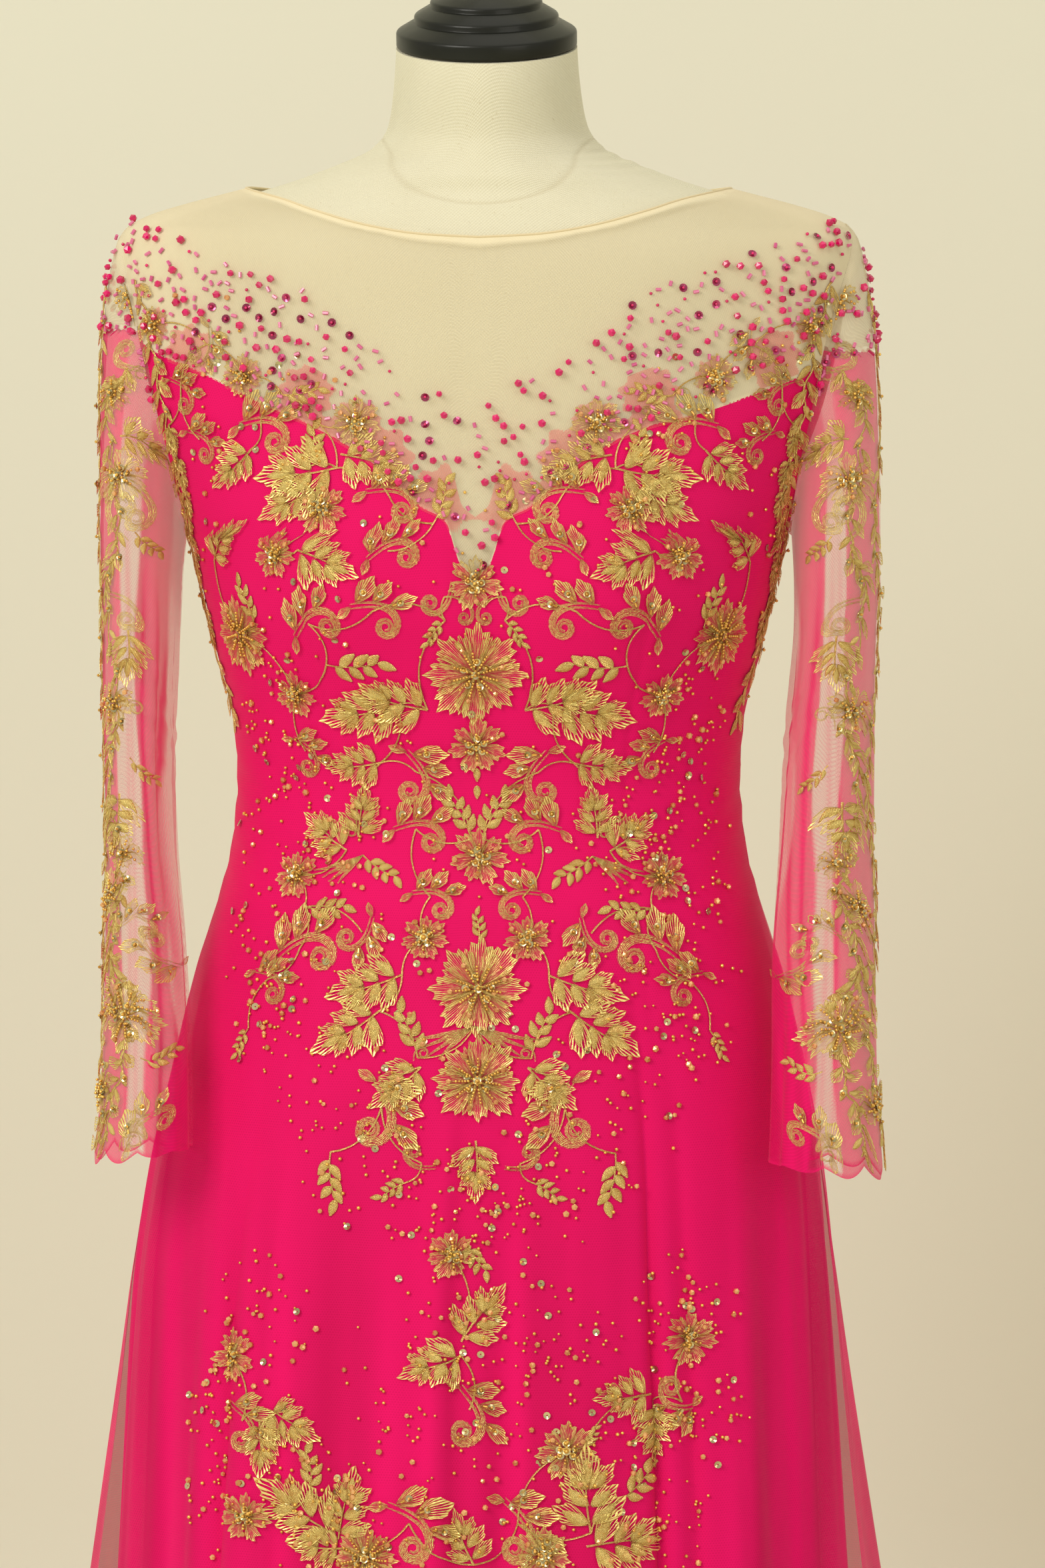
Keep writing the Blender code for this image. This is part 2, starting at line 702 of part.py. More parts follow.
def panel_rows(low, high, count):
    # The rows fan out above the bust line, lie close over the embroidery and
    # wider apart towards the hem
    above = round(count * 0.20)
    middle = round(count * 0.55)
    upper = steps_between(LEVEL_BELOW, high, above + 1)[1:]
    embroidered = steps_between(EMBROIDERY_FOOT, LEVEL_BELOW, middle)
    lower = steps_between(low, EMBROIDERY_FOOT, count - above - middle + 1)[:-1]
    return lower + embroidered + upper


def even_rows(low, high, count):
    return steps_between(low, high, count)


def make_front(pink, deep_pink):
    def edges(across):
        return HEM, edge_height("front", "sweetheart", round(across, 6))

    panel_wall("front_panel", FRONT, edges, (37, 41), panel_rows, pink, front_relief,
               coarser=(1, 2))

    def flap_edges(across):
        return UNDER_HEM, UNDER_FLAP_TOP

    panel_wall("front_under_flap", FRONT_UNDER, flap_edges, (19, 10), even_rows,
               deep_pink, inside=EASE - LAYER_GAP - WALL, coarser=(1, 1))


def make_back(pink, deep_pink):
    def edges(across):
        return HEM, edge_height("back tulle", "back edge", round(across, 6))

    panel_wall("back_panel", BACK_TULLE, edges, (29, 25), back_rows, pink,
               coarser=(1, 2))

    def flap_edges(across):
        return UNDER_HEM, UNDER_FLAP_TOP

    panel_wall("back_under_flap", BACK_UNDER, flap_edges, (19, 10), even_rows,
               deep_pink, inside=EASE - LAYER_GAP - WALL, coarser=(1, 1))


def back_rows(low, high, count):
    above, middle = 6, 9
    upper = steps_between(LEVEL_BELOW, high, above + 1)[1:]
    waist = steps_between(HIP_ROW, LEVEL_BELOW, middle)
    lower = steps_between(low, HIP_ROW, count - above - middle + 1)[:-1]
    return lower + waist + upper


def make_yokes(nude):
    for name, layer, low_line, high_line, columns in (
        ("yoke_front", "front", "sweetheart", "neck front", 37),
        ("yoke_back", "back under", "back edge", "neck back", 29),
    ):
        def edges(across, layer=layer, low_line=low_line, high_line=high_line):
            across = round(across, 6)
            low = edge_height(layer, low_line, across)
            low += SEAM * seam_slant(layer, low_line, across)
            high = edge_height(layer, high_line, across) - BINDING_RADIUS
            return low, high

        place = panel(layer)
        panel_wall(name, place, edges, (columns, 10), even_rows, nude, even=True,
                   coarser=(1, 1))


def make_binding(tan):
    # A thin round strip that follows the neckline, front and back
    centre = EASE + 0.5 * WALL
    loop = []
    for layer, line, sign in (("front", "neck front", 1), ("back under", "neck back", -1)):
        place = panel(layer)
        for across in steps_between(-1.0, 1.0, BINDING_POINTS // 2 + 1)[:-1]:
            across = round(sign * across, 6)
            height = edge_height(layer, line, across)
            loop.append(place(across, height + BINDING_RISE * BINDING_RADIUS, centre))
    mesh_data = bmesh.new()
    rings = []
    for i, point in enumerate(loop):
        along = (loop[(i + 1) % len(loop)] - loop[i - 1]).normalized()
        level = along.cross(Vector((0, 0, 1))).normalized()
        up = level.cross(along).normalized()
        ring = []
        for k in range(BINDING_SIDES):
            angle = 2.0 * math.pi * k / BINDING_SIDES
            spoke = level * math.cos(angle) + up * math.sin(angle)
            ring.append(mesh_data.verts.new(point + spoke * BINDING_SHARE * BINDING_RADIUS))
        rings.append(ring)
    for i, ring in enumerate(rings):
        after = rings[(i + 1) % len(rings)]
        for k in range(BINDING_SIDES):
            m = (k + 1) % BINDING_SIDES
            mesh_data.faces.new((ring[k], ring[m], after[m], after[k]))
    keep_mesh("neck_binding", mesh_data, tan, smooth_angle=80)


# Which way the sleeve starts out from the armhole
LEAVE_UNDERARM = Vector((0.06, 0.0, -1.0))
LEAVE_SHOULDER = Vector((0.38, 0.0, -0.92))
HEAD_CENTRE = Vector((0.17, 0.0, 1.26))
HEAD_END = 8.0                # the sleeve head is the first points of each line


def armhole_point(angle):
    # A point of the armhole: 0 is the shoulder tip, 90 degrees the front
    middle = 0.5 * (UNDERARM + SHOULDER_TIP)
    height = middle + (SHOULDER_TIP - middle) * math.cos(angle)
    row = FORM.at(height)
    is_front = math.sin(angle) >= 0.0
    oval = ARMHOLE_FRONT if is_front else ARMHOLE_BACK
    reach = oval * abs(math.sin(angle))
    depth = row.front if is_front else row.back
    x = row.half * (1.0 - (reach / depth) ** row.square) ** (1.0 / row.square)
    out = EASE + 0.5 * WALL + CORNER_GAP
    lift = 0.5 * (1.0 + math.cos(angle))
    y = -reach if is_front else reach
    return Vector((x + out, y, height + 0.5 * out * lift))


def tube_point(side, angle, height):
    row = SLEEVES[side].at(height)
    middle = 0.5 * (row.inner + row.outer)
    reach = 0.5 * (row.outer - row.inner)
    return Vector((middle + reach * math.cos(angle),
                   row.middle - row.depth * math.sin(angle), height))


@lru_cache(maxsize=None)
def sleeve_line(side, angle, hem):
    # One lengthwise line of the sleeve, from the armhole over the shoulder
    # head and down to the hem, at even steps
    start = armhole_point(angle)
    end = tube_point(side, angle, SLEEVE_TUBE_TOP)
    span = (end - start).length
    share = 0.5 * (1.0 + math.cos(angle))
    leave = LEAVE_UNDERARM.lerp(LEAVE_SHOULDER, share)
    leave = leave.normalized() * SLEEVE_FULLNESS * span
    arrive = Vector((0.0, 0.0, -1.0)) * span
    points = []
    for t in steps_between(0.0, 1.0, 25):
        curve = start * (2 * t**3 - 3 * t**2 + 1) + end * (3 * t**2 - 2 * t**3)
        curve += leave * (t**3 - 2 * t**2 + t) + arrive * (t**3 - t**2)
        points.append(curve)
    for height in steps_between(SLEEVE_TUBE_TOP, hem, 30)[1:]:
        points.append(tube_point(side, angle, height))
    return tuple(points)


def line_at_height(points, height):
    # How far along the line this height is reached, as a point number
    for i in range(len(points) - 1):
        if points[i].z >= height >= points[i + 1].z:
            return i + (points[i].z - height) / (points[i].z - points[i + 1].z)
    return 0.0


def line_point(points, place):
    i = min(int(place), len(points) - 2)
    return points[i].lerp(points[i + 1], place - i)


def sleeve_hem(side, angle):
    # Scalloped all round, and lower on the outside, where the lace is
    wave = abs(math.sin(0.5 * SCALLOP_COUNT * angle))
    outside = 0.5 * (1.0 + math.cos(angle))
    return SLEEVE_HEMS[side] - SCALLOP_DEPTH * wave * outside


def sleeve_grid(angles, top, bottom, rows, out, side, relief):
    # Top and bottom are places along each line, as functions of its angle
    step = 0.02
    grid = []
    for k in range(rows):
        row = []
        for angle in angles:
            hem = sleeve_hem(side, angle)
            line = sleeve_line(side, round(angle, 7), hem)
            first, last = top(line, angle), bottom(line, angle)
            place = first + (last - first) * k / (rows - 1)
            point = line_point(line, place)
            before = line_point(sleeve_line(side, round(angle - step, 7), hem), place)
            after = line_point(sleeve_line(side, round(angle + step, 7), hem), place)
            down = line_point(line, min(place + 0.3, len(line) - 1.0))
            down = down - line_point(line, max(place - 0.3, 0.0))
            normal = (after - before).cross(down).normalized()
            middle = SLEEVES[side].at(point.z)
            centre = Vector((0.5 * (middle.inner + middle.outer), middle.middle, point.z))
            inside = centre if place > HEAD_END else HEAD_CENTRE
            if normal.dot(point - inside) < 0.0:
                normal = -normal
            rise = 0.0
            if relief:
                turn = (angle + math.pi) % (2.0 * math.pi) - math.pi
                rise = motif_rise(SLEEVE_MOTIFS, SLEEVE_GIRTH_RADIUS * turn, point.z)
            point = point + normal * (out + rise)
            row.append(Vector((side * point.x, point.y, point.z)))
        grid.append(row)
    return grid


def sleeve_split(line, angle):
    # Where this line crosses the edge between nude mesh and pink tulle
    if line[0].z <= OFF_SHOULDER:
        return 0.0
    return line_at_height(line, OFF_SHOULDER)


def make_sleeves(pink, nude):
    columns, rows = 20, 21
    half = 0.5 * WALL
    split_angle = math.acos((OFF_SHOULDER + 0.006 - 0.5 * (UNDERARM + SHOULDER_TIP))
                            / (0.5 * (SHOULDER_TIP - UNDERARM)))

    def pink_top(line, angle):
        start = sleeve_split(line, angle)
        return start + 0.10 if start > 0.0 else 0.0

    def line_end(line, angle):
        return len(line) - 1.0

    def line_start(line, angle):
        return 0.0

    for name, side in (("left", -1), ("right", 1)):
        grids = []
        for row_count, out, relief in (
            ((rows + 1) // 2, -half, False), (rows, half, True),
        ):
            turns = [2.0 * math.pi * i / columns for i in range(columns)]
            angles = [turn - UNDERARM_BUNCH * math.sin(turn) for turn in turns]
            grids.append(sleeve_grid(angles, pink_top, line_end, row_count, out,
                                     side, relief))
        build_wall("sleeve_" + name, *grids, pink, closed=True)

        grids = []
        for count, row_count, out, relief in (
            (9, 3, -half, False), (17, 5, half, True),
        ):
            angles = steps_between(-split_angle, split_angle, count)
            grids.append(sleeve_grid(angles, line_start, sleeve_split, row_count,
                                     out, side, relief))
        build_wall("sleeve_head_" + name, *grids, nude)


def make_form(canvas):
    columns = 30
    heights = [0.722, 0.728, 0.745, 0.82, 0.89, 0.95, 1.00, 1.045, 1.09, 1.13,
               1.16, 1.19, 1.22, 1.26, 1.30, 1.325, 1.34, 1.348, 1.354,
               1.360, 1.367, 1.374, 1.381, 1.389, 1.398, 1.41, 1.43, NECK_TOP]
    mesh_data = bmesh.new()
    rings = []
    for height in heights:
        shrink = 0.97 if height == heights[0] else 1.0
        turns = steps_between(0.0, 2.0 * math.pi, 2 * ARC_STEPS + 1)
        loop = [form_point(height, turn) for turn in turns]
        loop = spread_evenly(loop, columns + 1)[:-1]
        rings.append([mesh_data.verts.new((p.x * shrink, p.y * shrink, p.z)) for p in loop])
    for low, high in zip(rings, rings[1:]):
        for i in range(columns):
            j = (i + 1) % columns
            mesh_data.faces.new((low[i], low[j], high[j], high[i]))
    mesh_data.faces.new(rings[0])
    mesh_data.faces.new(rings[-1])
    return keep_mesh("form_torso", mesh_data, canvas, smooth_angle=50)


def turned(name, steps, segments, material, at=(0, 0, 0), tilt=0.0):
    # A solid of revolution about its own upright axis, closed at both ends
    mesh_data = bmesh.new()
    rings = []
    for step in steps:
        ring = []
        for i in range(segments):
            angle = 2.0 * math.pi * i / segments
            ring.append(mesh_data.verts.new((step.radius * math.cos(angle),
                                             step.radius * math.sin(angle), step.height)))
        rings.append(ring)
    for low, high in zip(rings, rings[1:]):
        for i in range(segments):
            j = (i + 1) % segments
            mesh_data.faces.new((low[i], low[j], high[j], high[i]))
    mesh_data.faces.new(rings[0])
    mesh_data.faces.new(rings[-1])
    obj = keep_mesh(name, mesh_data, material)
    obj.matrix_world = Matrix.Translation(at) @ Matrix.Rotation(tilt, 4, "X")
    return obj


def make_stand(black, steel):
    tilt = math.atan(NECK_TILT)
    top = Vector((0.0, NECK_LEAN, NECK_TOP + SEAM / math.cos(tilt)))
    turned("neck_cap", CAP_STEPS, 26, black, top, tilt)
    turned("base", BASE_STEPS, 32, black)
    turned("form_collar", COLLAR_STEPS, 24, black, (0, 0, FORM_BOTTOM - SEAM))
    foot = BASE_STEPS[-1].height + SEAM
    head = FORM_BOTTOM + COLLAR_STEPS[0].height - 2.0 * SEAM
    turned("pole", [Step(POLE_RADIUS, foot), Step(POLE_RADIUS, head)], 20, steel)


def make_zip(steel, tan):
    # A concealed zip down the middle of the back, and its pull
    place = BACK_TULLE
    lift = EASE + WALL + 4.0 * SEAM
    grids = []
    for out in (lift, lift + ZIP_THICKNESS):
        grid = []
        for height in steps_between(ZIP_FOOT, ZIP_TOP, 22):
            span = panel_point("back tulle", 1.0, height)
            row = []
            for side in (-1.0, 1.0):
                across = side * ZIP_HALF_WIDTH / (1.4 * abs(span.x))
                row.append(place(across, height, out))
            grid.append(row)
        grids.append(grid)
    build_wall("back_zip", *grids, tan)
    head = ZIP_TOP - 0.002
    start = place(0.0, head, lift + ZIP_THICKNESS + SEAM)
    end = place(0.0, head - PULL_LENGTH, lift + ZIP_THICKNESS + 2.0 * SEAM)
    mesh_data = bmesh.new()
    bmesh.ops.create_cube(mesh_data, size=1.0)
    down = (end - start).normalized()
    width = Vector((1, 0, 0))
    face = width.cross(down).normalized()
    frame = Matrix((width, face, down)).transposed().to_4x4()
    middle = (start + end) * 0.5
    if face.y < 0.0:
        face = -face
    centre = middle + face * PULL_LIFT
    scale = Matrix.Diagonal((PULL_WIDTH, PULL_THICKNESS, PULL_LENGTH, 1.0))
    bmesh.ops.transform(mesh_data, verts=mesh_data.verts,
                        matrix=Matrix.Translation(centre) @ frame @ scale)
    edges = [e for e in mesh_data.edges if abs((e.verts[0].co - e.verts[1].co).y) < 0.001]
    bmesh.ops.bevel(mesh_data, geom=edges, offset=PULL_BEVEL, segments=1, profile=0.5,
                    affect="EDGES")
    keep_mesh("zip_pull", mesh_data, steel)


def main():
    clear_scene()
    pink = make_material("pink tulle", PINK, 0.75)
    deep_pink = make_material("pink under layer", DEEP_PINK, 0.70)
    nude = make_material("nude mesh", NUDE, 0.80)
    tan = make_material("tan binding", BINDING_TAN, 0.75)
    canvas = make_material("form canvas", CANVAS, 0.88)
    black = make_material("black satin lacquer", SATIN_BLACK, 0.30)
    steel = make_material("brushed steel", STEEL, 0.35, 1.0)
    make_form(canvas)
    make_stand(black, steel)
    make_front(pink, deep_pink)
    make_back(pink, deep_pink)
    make_yokes(nude)
    make_binding(tan)
    make_sleeves(pink, nude)
    make_zip(steel, tan)


main()
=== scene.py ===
import math
import random

import bmesh
import bpy
import numpy as np
from mathutils import Matrix, Vector


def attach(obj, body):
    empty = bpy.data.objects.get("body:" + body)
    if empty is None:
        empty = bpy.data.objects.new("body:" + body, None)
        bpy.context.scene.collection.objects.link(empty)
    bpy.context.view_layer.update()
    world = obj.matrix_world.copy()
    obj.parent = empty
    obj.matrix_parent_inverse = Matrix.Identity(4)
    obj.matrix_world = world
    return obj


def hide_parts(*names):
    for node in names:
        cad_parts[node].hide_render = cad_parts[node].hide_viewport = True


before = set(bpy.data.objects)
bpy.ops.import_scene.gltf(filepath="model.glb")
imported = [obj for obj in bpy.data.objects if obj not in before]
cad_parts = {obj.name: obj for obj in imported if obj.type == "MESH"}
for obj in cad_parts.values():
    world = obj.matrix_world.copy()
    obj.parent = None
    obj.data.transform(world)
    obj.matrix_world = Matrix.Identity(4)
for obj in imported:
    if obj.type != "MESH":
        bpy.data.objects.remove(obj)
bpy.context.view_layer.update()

# An ao dai of pink tulle on a canvas dress form. Metres, Z up, the front faces -Y.
# The cloth pieces are grids laid on smooth skins. A place on a skin is across,
# from -1 at one edge to 1 at the other, and the height or the way down.


# Skins

# height, half width, depth in front, depth behind, squareness
formRows = [
    (0.722, 0.163, 0.104, 0.108, 2.2), (0.74, 0.168, 0.109, 0.114, 2.25),
    (0.8, 0.17, 0.112, 0.119, 2.25), (0.85, 0.168, 0.112, 0.12, 2.25),
    (0.9, 0.16, 0.109, 0.114, 2.25), (0.95, 0.149, 0.104, 0.102, 2.25),
    (0.99, 0.141, 0.099, 0.092, 2.25), (1.025, 0.1386, 0.097, 0.087, 2.25),
    (1.045, 0.1388, 0.098, 0.087, 2.25), (1.078, 0.141, 0.103, 0.09, 2.25),
    (1.118, 0.1508, 0.11, 0.097, 2.25), (1.15, 0.1578, 0.114, 0.102, 2.25),
    (1.184, 0.166, 0.114, 0.105, 2.3), (1.22, 0.179, 0.11, 0.107, 2.35),
    (1.256, 0.192, 0.105, 0.106, 2.4), (1.3, 0.202, 0.098, 0.1, 2.4),
    (1.335, 0.206, 0.091, 0.091, 2.35), (1.345, 0.205, 0.087, 0.086, 2.3),
    (1.352, 0.201, 0.083, 0.081, 2.25), (1.358, 0.19, 0.08, 0.077, 2.2),
    (1.364, 0.171, 0.077, 0.074, 2.2), (1.37, 0.148, 0.074, 0.071, 2.15),
    (1.376, 0.125, 0.071, 0.068, 2.15), (1.382, 0.103, 0.069, 0.065, 2.1),
    (1.389, 0.084, 0.066, 0.062, 2.05), (1.398, 0.065, 0.062, 0.058, 2.0),
    (1.41, 0.056, 0.057, 0.054, 2.0), (1.425, 0.053, 0.054, 0.052, 2.0),
    (1.446, 0.051, 0.0515, 0.0505, 2.0), (1.456, 0.0505, 0.0505, 0.05, 2.0),
]

# height, half width, depth in front, depth behind, and the back tulle's own two
skirtRows = [
    (0.03, 0.25, 0.206, 0.24, 0.3, 0.3), (0.15, 0.238, 0.196, 0.226, 0.281, 0.272),
    (0.3, 0.225, 0.182, 0.206, 0.258, 0.238), (0.45, 0.211, 0.167, 0.186, 0.236, 0.206),
    (0.6, 0.201, 0.152, 0.166, 0.214, 0.176), (0.7, 0.196, 0.144, 0.153, 0.202, 0.158),
    (0.77, 0.192, 0.138, 0.144, 0.195, 0.146), (0.828, 0.186, 0.132, 0.136, 0.187, 0.137),
    (0.88, 0.176, 0.125, 0.127, 0.176, 0.127), (0.935, 0.163, 0.116, 0.115, 0.163, 0.115),
    (0.976, 0.15, 0.107, 0.0995, 0.15, 0.0995), (1.008, 0.142, 0.1, 0.0905, 0.142, 0.0905),
    (1.045, 0.1388, 0.098, 0.087, 0.1388, 0.087), (1.078, 0.141, 0.103, 0.09, 0.141, 0.09),
]

# height, inner side, outer side, middle front to back, half depth
sleeveRows = {
    1: [
        (0.81, 0.161, 0.227, -0.104, 0.034), (0.89, 0.163, 0.221, -0.08, 0.037),
        (0.95, 0.162, 0.219, -0.054, 0.041), (1.01, 0.165, 0.217, -0.028, 0.045),
        (1.07, 0.168, 0.217, -0.012, 0.049), (1.13, 0.172, 0.218, -0.004, 0.053),
        (1.19, 0.171, 0.227, 0.0, 0.056),
    ],
    -1: [
        (0.81, 0.159, 0.216, -0.106, 0.033), (0.89, 0.161, 0.21, -0.084, 0.037),
        (0.95, 0.166, 0.211, -0.058, 0.041), (1.01, 0.174, 0.213, -0.03, 0.046),
        (1.07, 0.177, 0.215, -0.012, 0.051), (1.13, 0.174, 0.217, -0.004, 0.055),
        (1.19, 0.171, 0.219, 0.0, 0.058),
    ],
}

# place across, half width, rise at the hem, height where the fold begins
frontFolds = [
    (-0.86, 0.06, 0.012, 0.86), (-0.68, 0.065, -0.01, 0.9), (-0.5, 0.07, 0.013, 0.84),
    (-0.3, 0.06, -0.011, 0.88), (-0.11, 0.07, 0.01, 0.8), (0.09, 0.065, -0.01, 0.84),
    (0.26, 0.06, 0.012, 0.9), (0.41, 0.052, -0.019, 0.96), (0.57, 0.07, 0.015, 0.93),
    (0.74, 0.06, -0.011, 0.86), (0.88, 0.06, 0.012, 0.82),
]
backFolds = [
    (-0.84, 0.07, 0.02, 0.86), (-0.62, 0.08, -0.018, 0.84), (-0.4, 0.075, 0.022, 0.92),
    (-0.19, 0.07, -0.017, 0.86), (0.02, 0.075, 0.021, 0.9), (0.23, 0.07, -0.019, 0.94),
    (0.44, 0.075, 0.018, 0.86), (0.64, 0.075, -0.02, 0.88), (0.84, 0.07, 0.019, 0.84),
]

# half span and height
sweetheart = [
    (0.0, 1.164), (0.008, 1.17), (0.017, 1.195), (0.03, 1.202), (0.055, 1.224),
    (0.081, 1.241), (0.095, 1.248), (0.119, 1.258), (0.14, 1.268), (0.157, 1.276),
    (0.18, 1.285), (0.2, 1.298),
]
backEdge = [(0.0, 1.236), (0.04, 1.238), (0.09, 1.25), (0.14, 1.27), (0.2, 1.298)]
neckFront = [
    (0.0, 1.3485), (0.03, 1.35), (0.06, 1.3545), (0.09, 1.362), (0.115, 1.369),
    (0.135, 1.373),
]
neckBack = [(0.0, 1.361), (0.05, 1.363), (0.09, 1.367), (0.135, 1.373)]

cut = {
    "wall": 0.0012, "ease": 0.0019, "seam": 0.0003, "cornerGap": 0.0016,
    "layerGap": 0.0008, "layerOpening": 0.003,
    "hem": 0.034, "sway": -0.004, "underHem": 0.046, "slitTop": 1.008, "flapTop": 0.975,
    "underarm": 1.184, "shoulderTip": 1.3535, "offShoulder": 1.298, "neckSide": 1.373,
    "armholeFront": 0.045, "armholeBack": 0.048, "slitSpread": 0.03, "slitMost": 0.004,
    "wrapTop": 0.8, "wrapWidth": 0.024, "hipTop": 1.045,
    "underFolds": 0.5, "underDrawIn": 0.016, "underWidth": 0.955,
    "neckTop": 1.4545, "neckTilt": 0.18, "neckLean": -0.0165, "formInset": 0.0016,
    "tubeTop": 1.15, "sleeveHems": {-1: 0.845, 1: 0.839}, "fullness": 0.6, "scallops": 8,
    "scallopDeep": 0.009, "slip": {-1: 0.0, 1: 0.011},
    "bustPlace": (0.078, 1.15), "bustSpread": (0.05, 0.062, 0.04), "bustRise": 0.012,
    "neckFoot": 1.375, "skirtSquare": 2.25, "swayTop": 0.9,
}


def smoothStep(value):
    value = np.clip(value, 0.0, 1.0)
    return value * value * (3.0 - 2.0 * value)


def bell(far):
    return np.exp(-(far ** 2))


def hermite(t):
    # the shares of both ends and of both end slopes along a smooth curve
    return (2 * t**3 - 3 * t**2 + 1, 3 * t**2 - 2 * t**3, t**3 - 2 * t**2 + t, t**3 - t**2)


def slopesOf(places, values):
    # slopes of a smooth curve that never overshoots its values
    steps = np.diff(places)
    rises = np.diff(values) / steps
    slopes = np.zeros(len(values))
    slopes[0], slopes[-1] = rises[0], rises[-1]
    for i in range(1, len(values) - 1):
        before, after = rises[i - 1], rises[i]
        if before * after > 0.0:
            near = 2.0 * steps[i] + steps[i - 1]
            far = steps[i] + 2.0 * steps[i - 1]
            slopes[i] = (near + far) / (near / before + far / after)
    return slopes


def readTable(table, places):
    # every column of a table at the given places, as one array each
    known, *columns = np.array(table, float).T
    places = np.clip(np.asarray(places, float), known[0], known[-1])
    i = np.clip(np.searchsorted(known, places, side="left") - 1, 0, len(known) - 2)
    step = known[i + 1] - known[i]
    start, end, leave, arrive = hermite((places - known[i]) / step)
    read = []
    for values in columns:
        slopes = slopesOf(known, values)
        rise = start * values[i] + end * values[i + 1]
        read.append(rise + step * (leave * slopes[i] + arrive * slopes[i + 1]))
    return read


def clothRows(layer, heights):
    *body, square = readTable(formRows, heights)
    skirt = readTable(skirtRows, heights)
    if layer == "back tulle":
        skirt[0], skirt[2] = skirt[3:]
    low = heights < cut["hipTop"]
    rows = [np.where(low, below, above) for below, above in zip(skirt, body)]
    return (*rows, np.where(low, cut["skirtSquare"], square))


def ringPoints(rows, heights, turns):
    # turn is 0 at the front and grows towards +X
    half, front, back, square = (a[:, None] for a in rows)
    h = heights[:, None]
    side, ahead = np.sin(turns), np.cos(turns)
    x = half * np.sign(side) * np.abs(side) ** (2.0 / square)
    depth = np.where(ahead > 0.0, front, back)
    y = -depth * np.sign(ahead) * np.abs(ahead) ** (2.0 / square)
    (place, level), (wide, above, below) = cut["bustPlace"], cut["bustSpread"]
    bust = cut["bustRise"] * bell((np.abs(x) - place) / wide)
    bust = bust * bell((h - level) / np.where(h > level, above, below))
    y = y - bust * smoothStep(ahead * 2.0) * (ahead > 0.0)
    t = smoothStep((h - cut["neckFoot"]) / (cut["neckTop"] - cut["neckFoot"]))
    sway = cut["sway"] * smoothStep((cut["swayTop"] - h) / 0.15)
    z = h + cut["neckTilt"] * t * y
    return np.stack([x + sway, y + cut["neckLean"] * t, z + 0.0 * x], axis=-1)


def edgeDepth(heights, layer):
    # how far each edge of a layer stands off the middle between front and back
    middle = 0.5 * (cut["underarm"] + cut["shoulderTip"])
    reach = np.clip((heights - middle) / (cut["shoulderTip"] - middle), -1.0, 1.0)
    oval = cut["armholeFront"] if layer.startswith("front") else cut["armholeBack"]
    armhole = oval * np.sqrt(1.0 - reach * reach)
    opened = np.clip((cut["slitTop"] - heights) * cut["slitSpread"], 0.0, cut["slitMost"])
    if layer == "back tulle":
        opened = opened - cut["wrapWidth"] * smoothStep((cut["wrapTop"] - heights) / 0.25)
    return 0.5 * cut["seam"] + np.where(heights > cut["underarm"], armhole, opened)


def foldRise(across, heights, folds):
    total = 0.0
    for place, width, rise, start in folds:
        drop = np.clip((start - heights) / (start - cut["hem"]), 0.0, 2.0)
        total = total + rise * bell((across - place) / width) * drop ** 0.8
    return total


def lengthsAlong(points, axis):
    # how far each point of a grid lies along the cloth from the start of its line
    steps = np.linalg.norm(np.diff(points, axis=axis), axis=-1)
    return np.insert(np.cumsum(steps, axis=axis), 0, 0.0, axis=axis)


def spaced(lines, shares):
    # points at the given shares of each line's length; a fourth value is carried along
    lengths = lengthsAlong(lines[..., :3], 1)
    return np.array([np.stack([np.interp(shares * length[-1], length, values) for values in line.T], -1)
                     for line, length in zip(lines, lengths)])


def gridNormals(points):
    normals = np.cross(np.gradient(points, axis=1), np.gradient(points, axis=0))
    length = np.linalg.norm(normals, axis=-1, keepdims=True)
    return normals / np.maximum(length, 1e-12)


def turnedTo(normals, away):
    return normals * np.sign((normals * away).sum(-1, keepdims=True))


def awayFromAxis(points):
    return points * np.array([1.0, 1.0, 0.0]) + np.array([0.0, 0.0, 0.02])


class Skin:
    # a grid of points and outward normals that anything can be laid on

    def __init__(self, points, normals, columns, rows):
        self.columns, self.rows = columns, rows     # the two scales, both rising
        self.measure(points, normals)

    def measure(self, points, normals):
        self.points, self.normals = points, normals
        self.alongColumns = np.gradient(points, self.columns, axis=1)
        self.alongRows = np.gradient(points, self.rows, axis=0)

    def settle(self, ripple):
        # takes up fine folds, so that what is sewn on follows them too
        rise = ripple(*np.meshgrid(self.columns, self.rows))
        points = self.points + self.normals * rise[..., None]
        self.measure(points, turnedTo(gridNormals(points), self.normals))

    def read(self, values, column, row):
        cells, shares = [], []
        for place, scale in ((column, self.columns), (row, self.rows)):
            at = np.interp(np.asarray(place, float), scale, np.arange(len(scale)))
            cells.append(np.clip(at.astype(int), 0, len(scale) - 2))
            shares.append(at - cells[-1])
        (c, r), (u, v) = cells, shares
        if values.ndim == 3:
            u, v = u[..., None], v[..., None]
        low = values[r, c] * (1 - u) + values[r, c + 1] * u
        high = values[r + 1, c] * (1 - u) + values[r + 1, c + 1] * u
        return low * (1 - v) + high * v

    def outward(self, column, row):
        return self.read(self.normals, column, row)

    def at(self, column, row, out=0.0):
        out = np.asarray(out, float)[..., None]
        return self.read(self.points, column, row) + self.outward(column, row) * out


skinColumns = np.linspace(-1.0, 1.0, 241)
skinHeights = np.concatenate([
    np.linspace(0.02, 1.32, 521), np.linspace(1.32, 1.352, 41)[1:],
    np.linspace(1.352, 1.3745, 91)[1:],
])


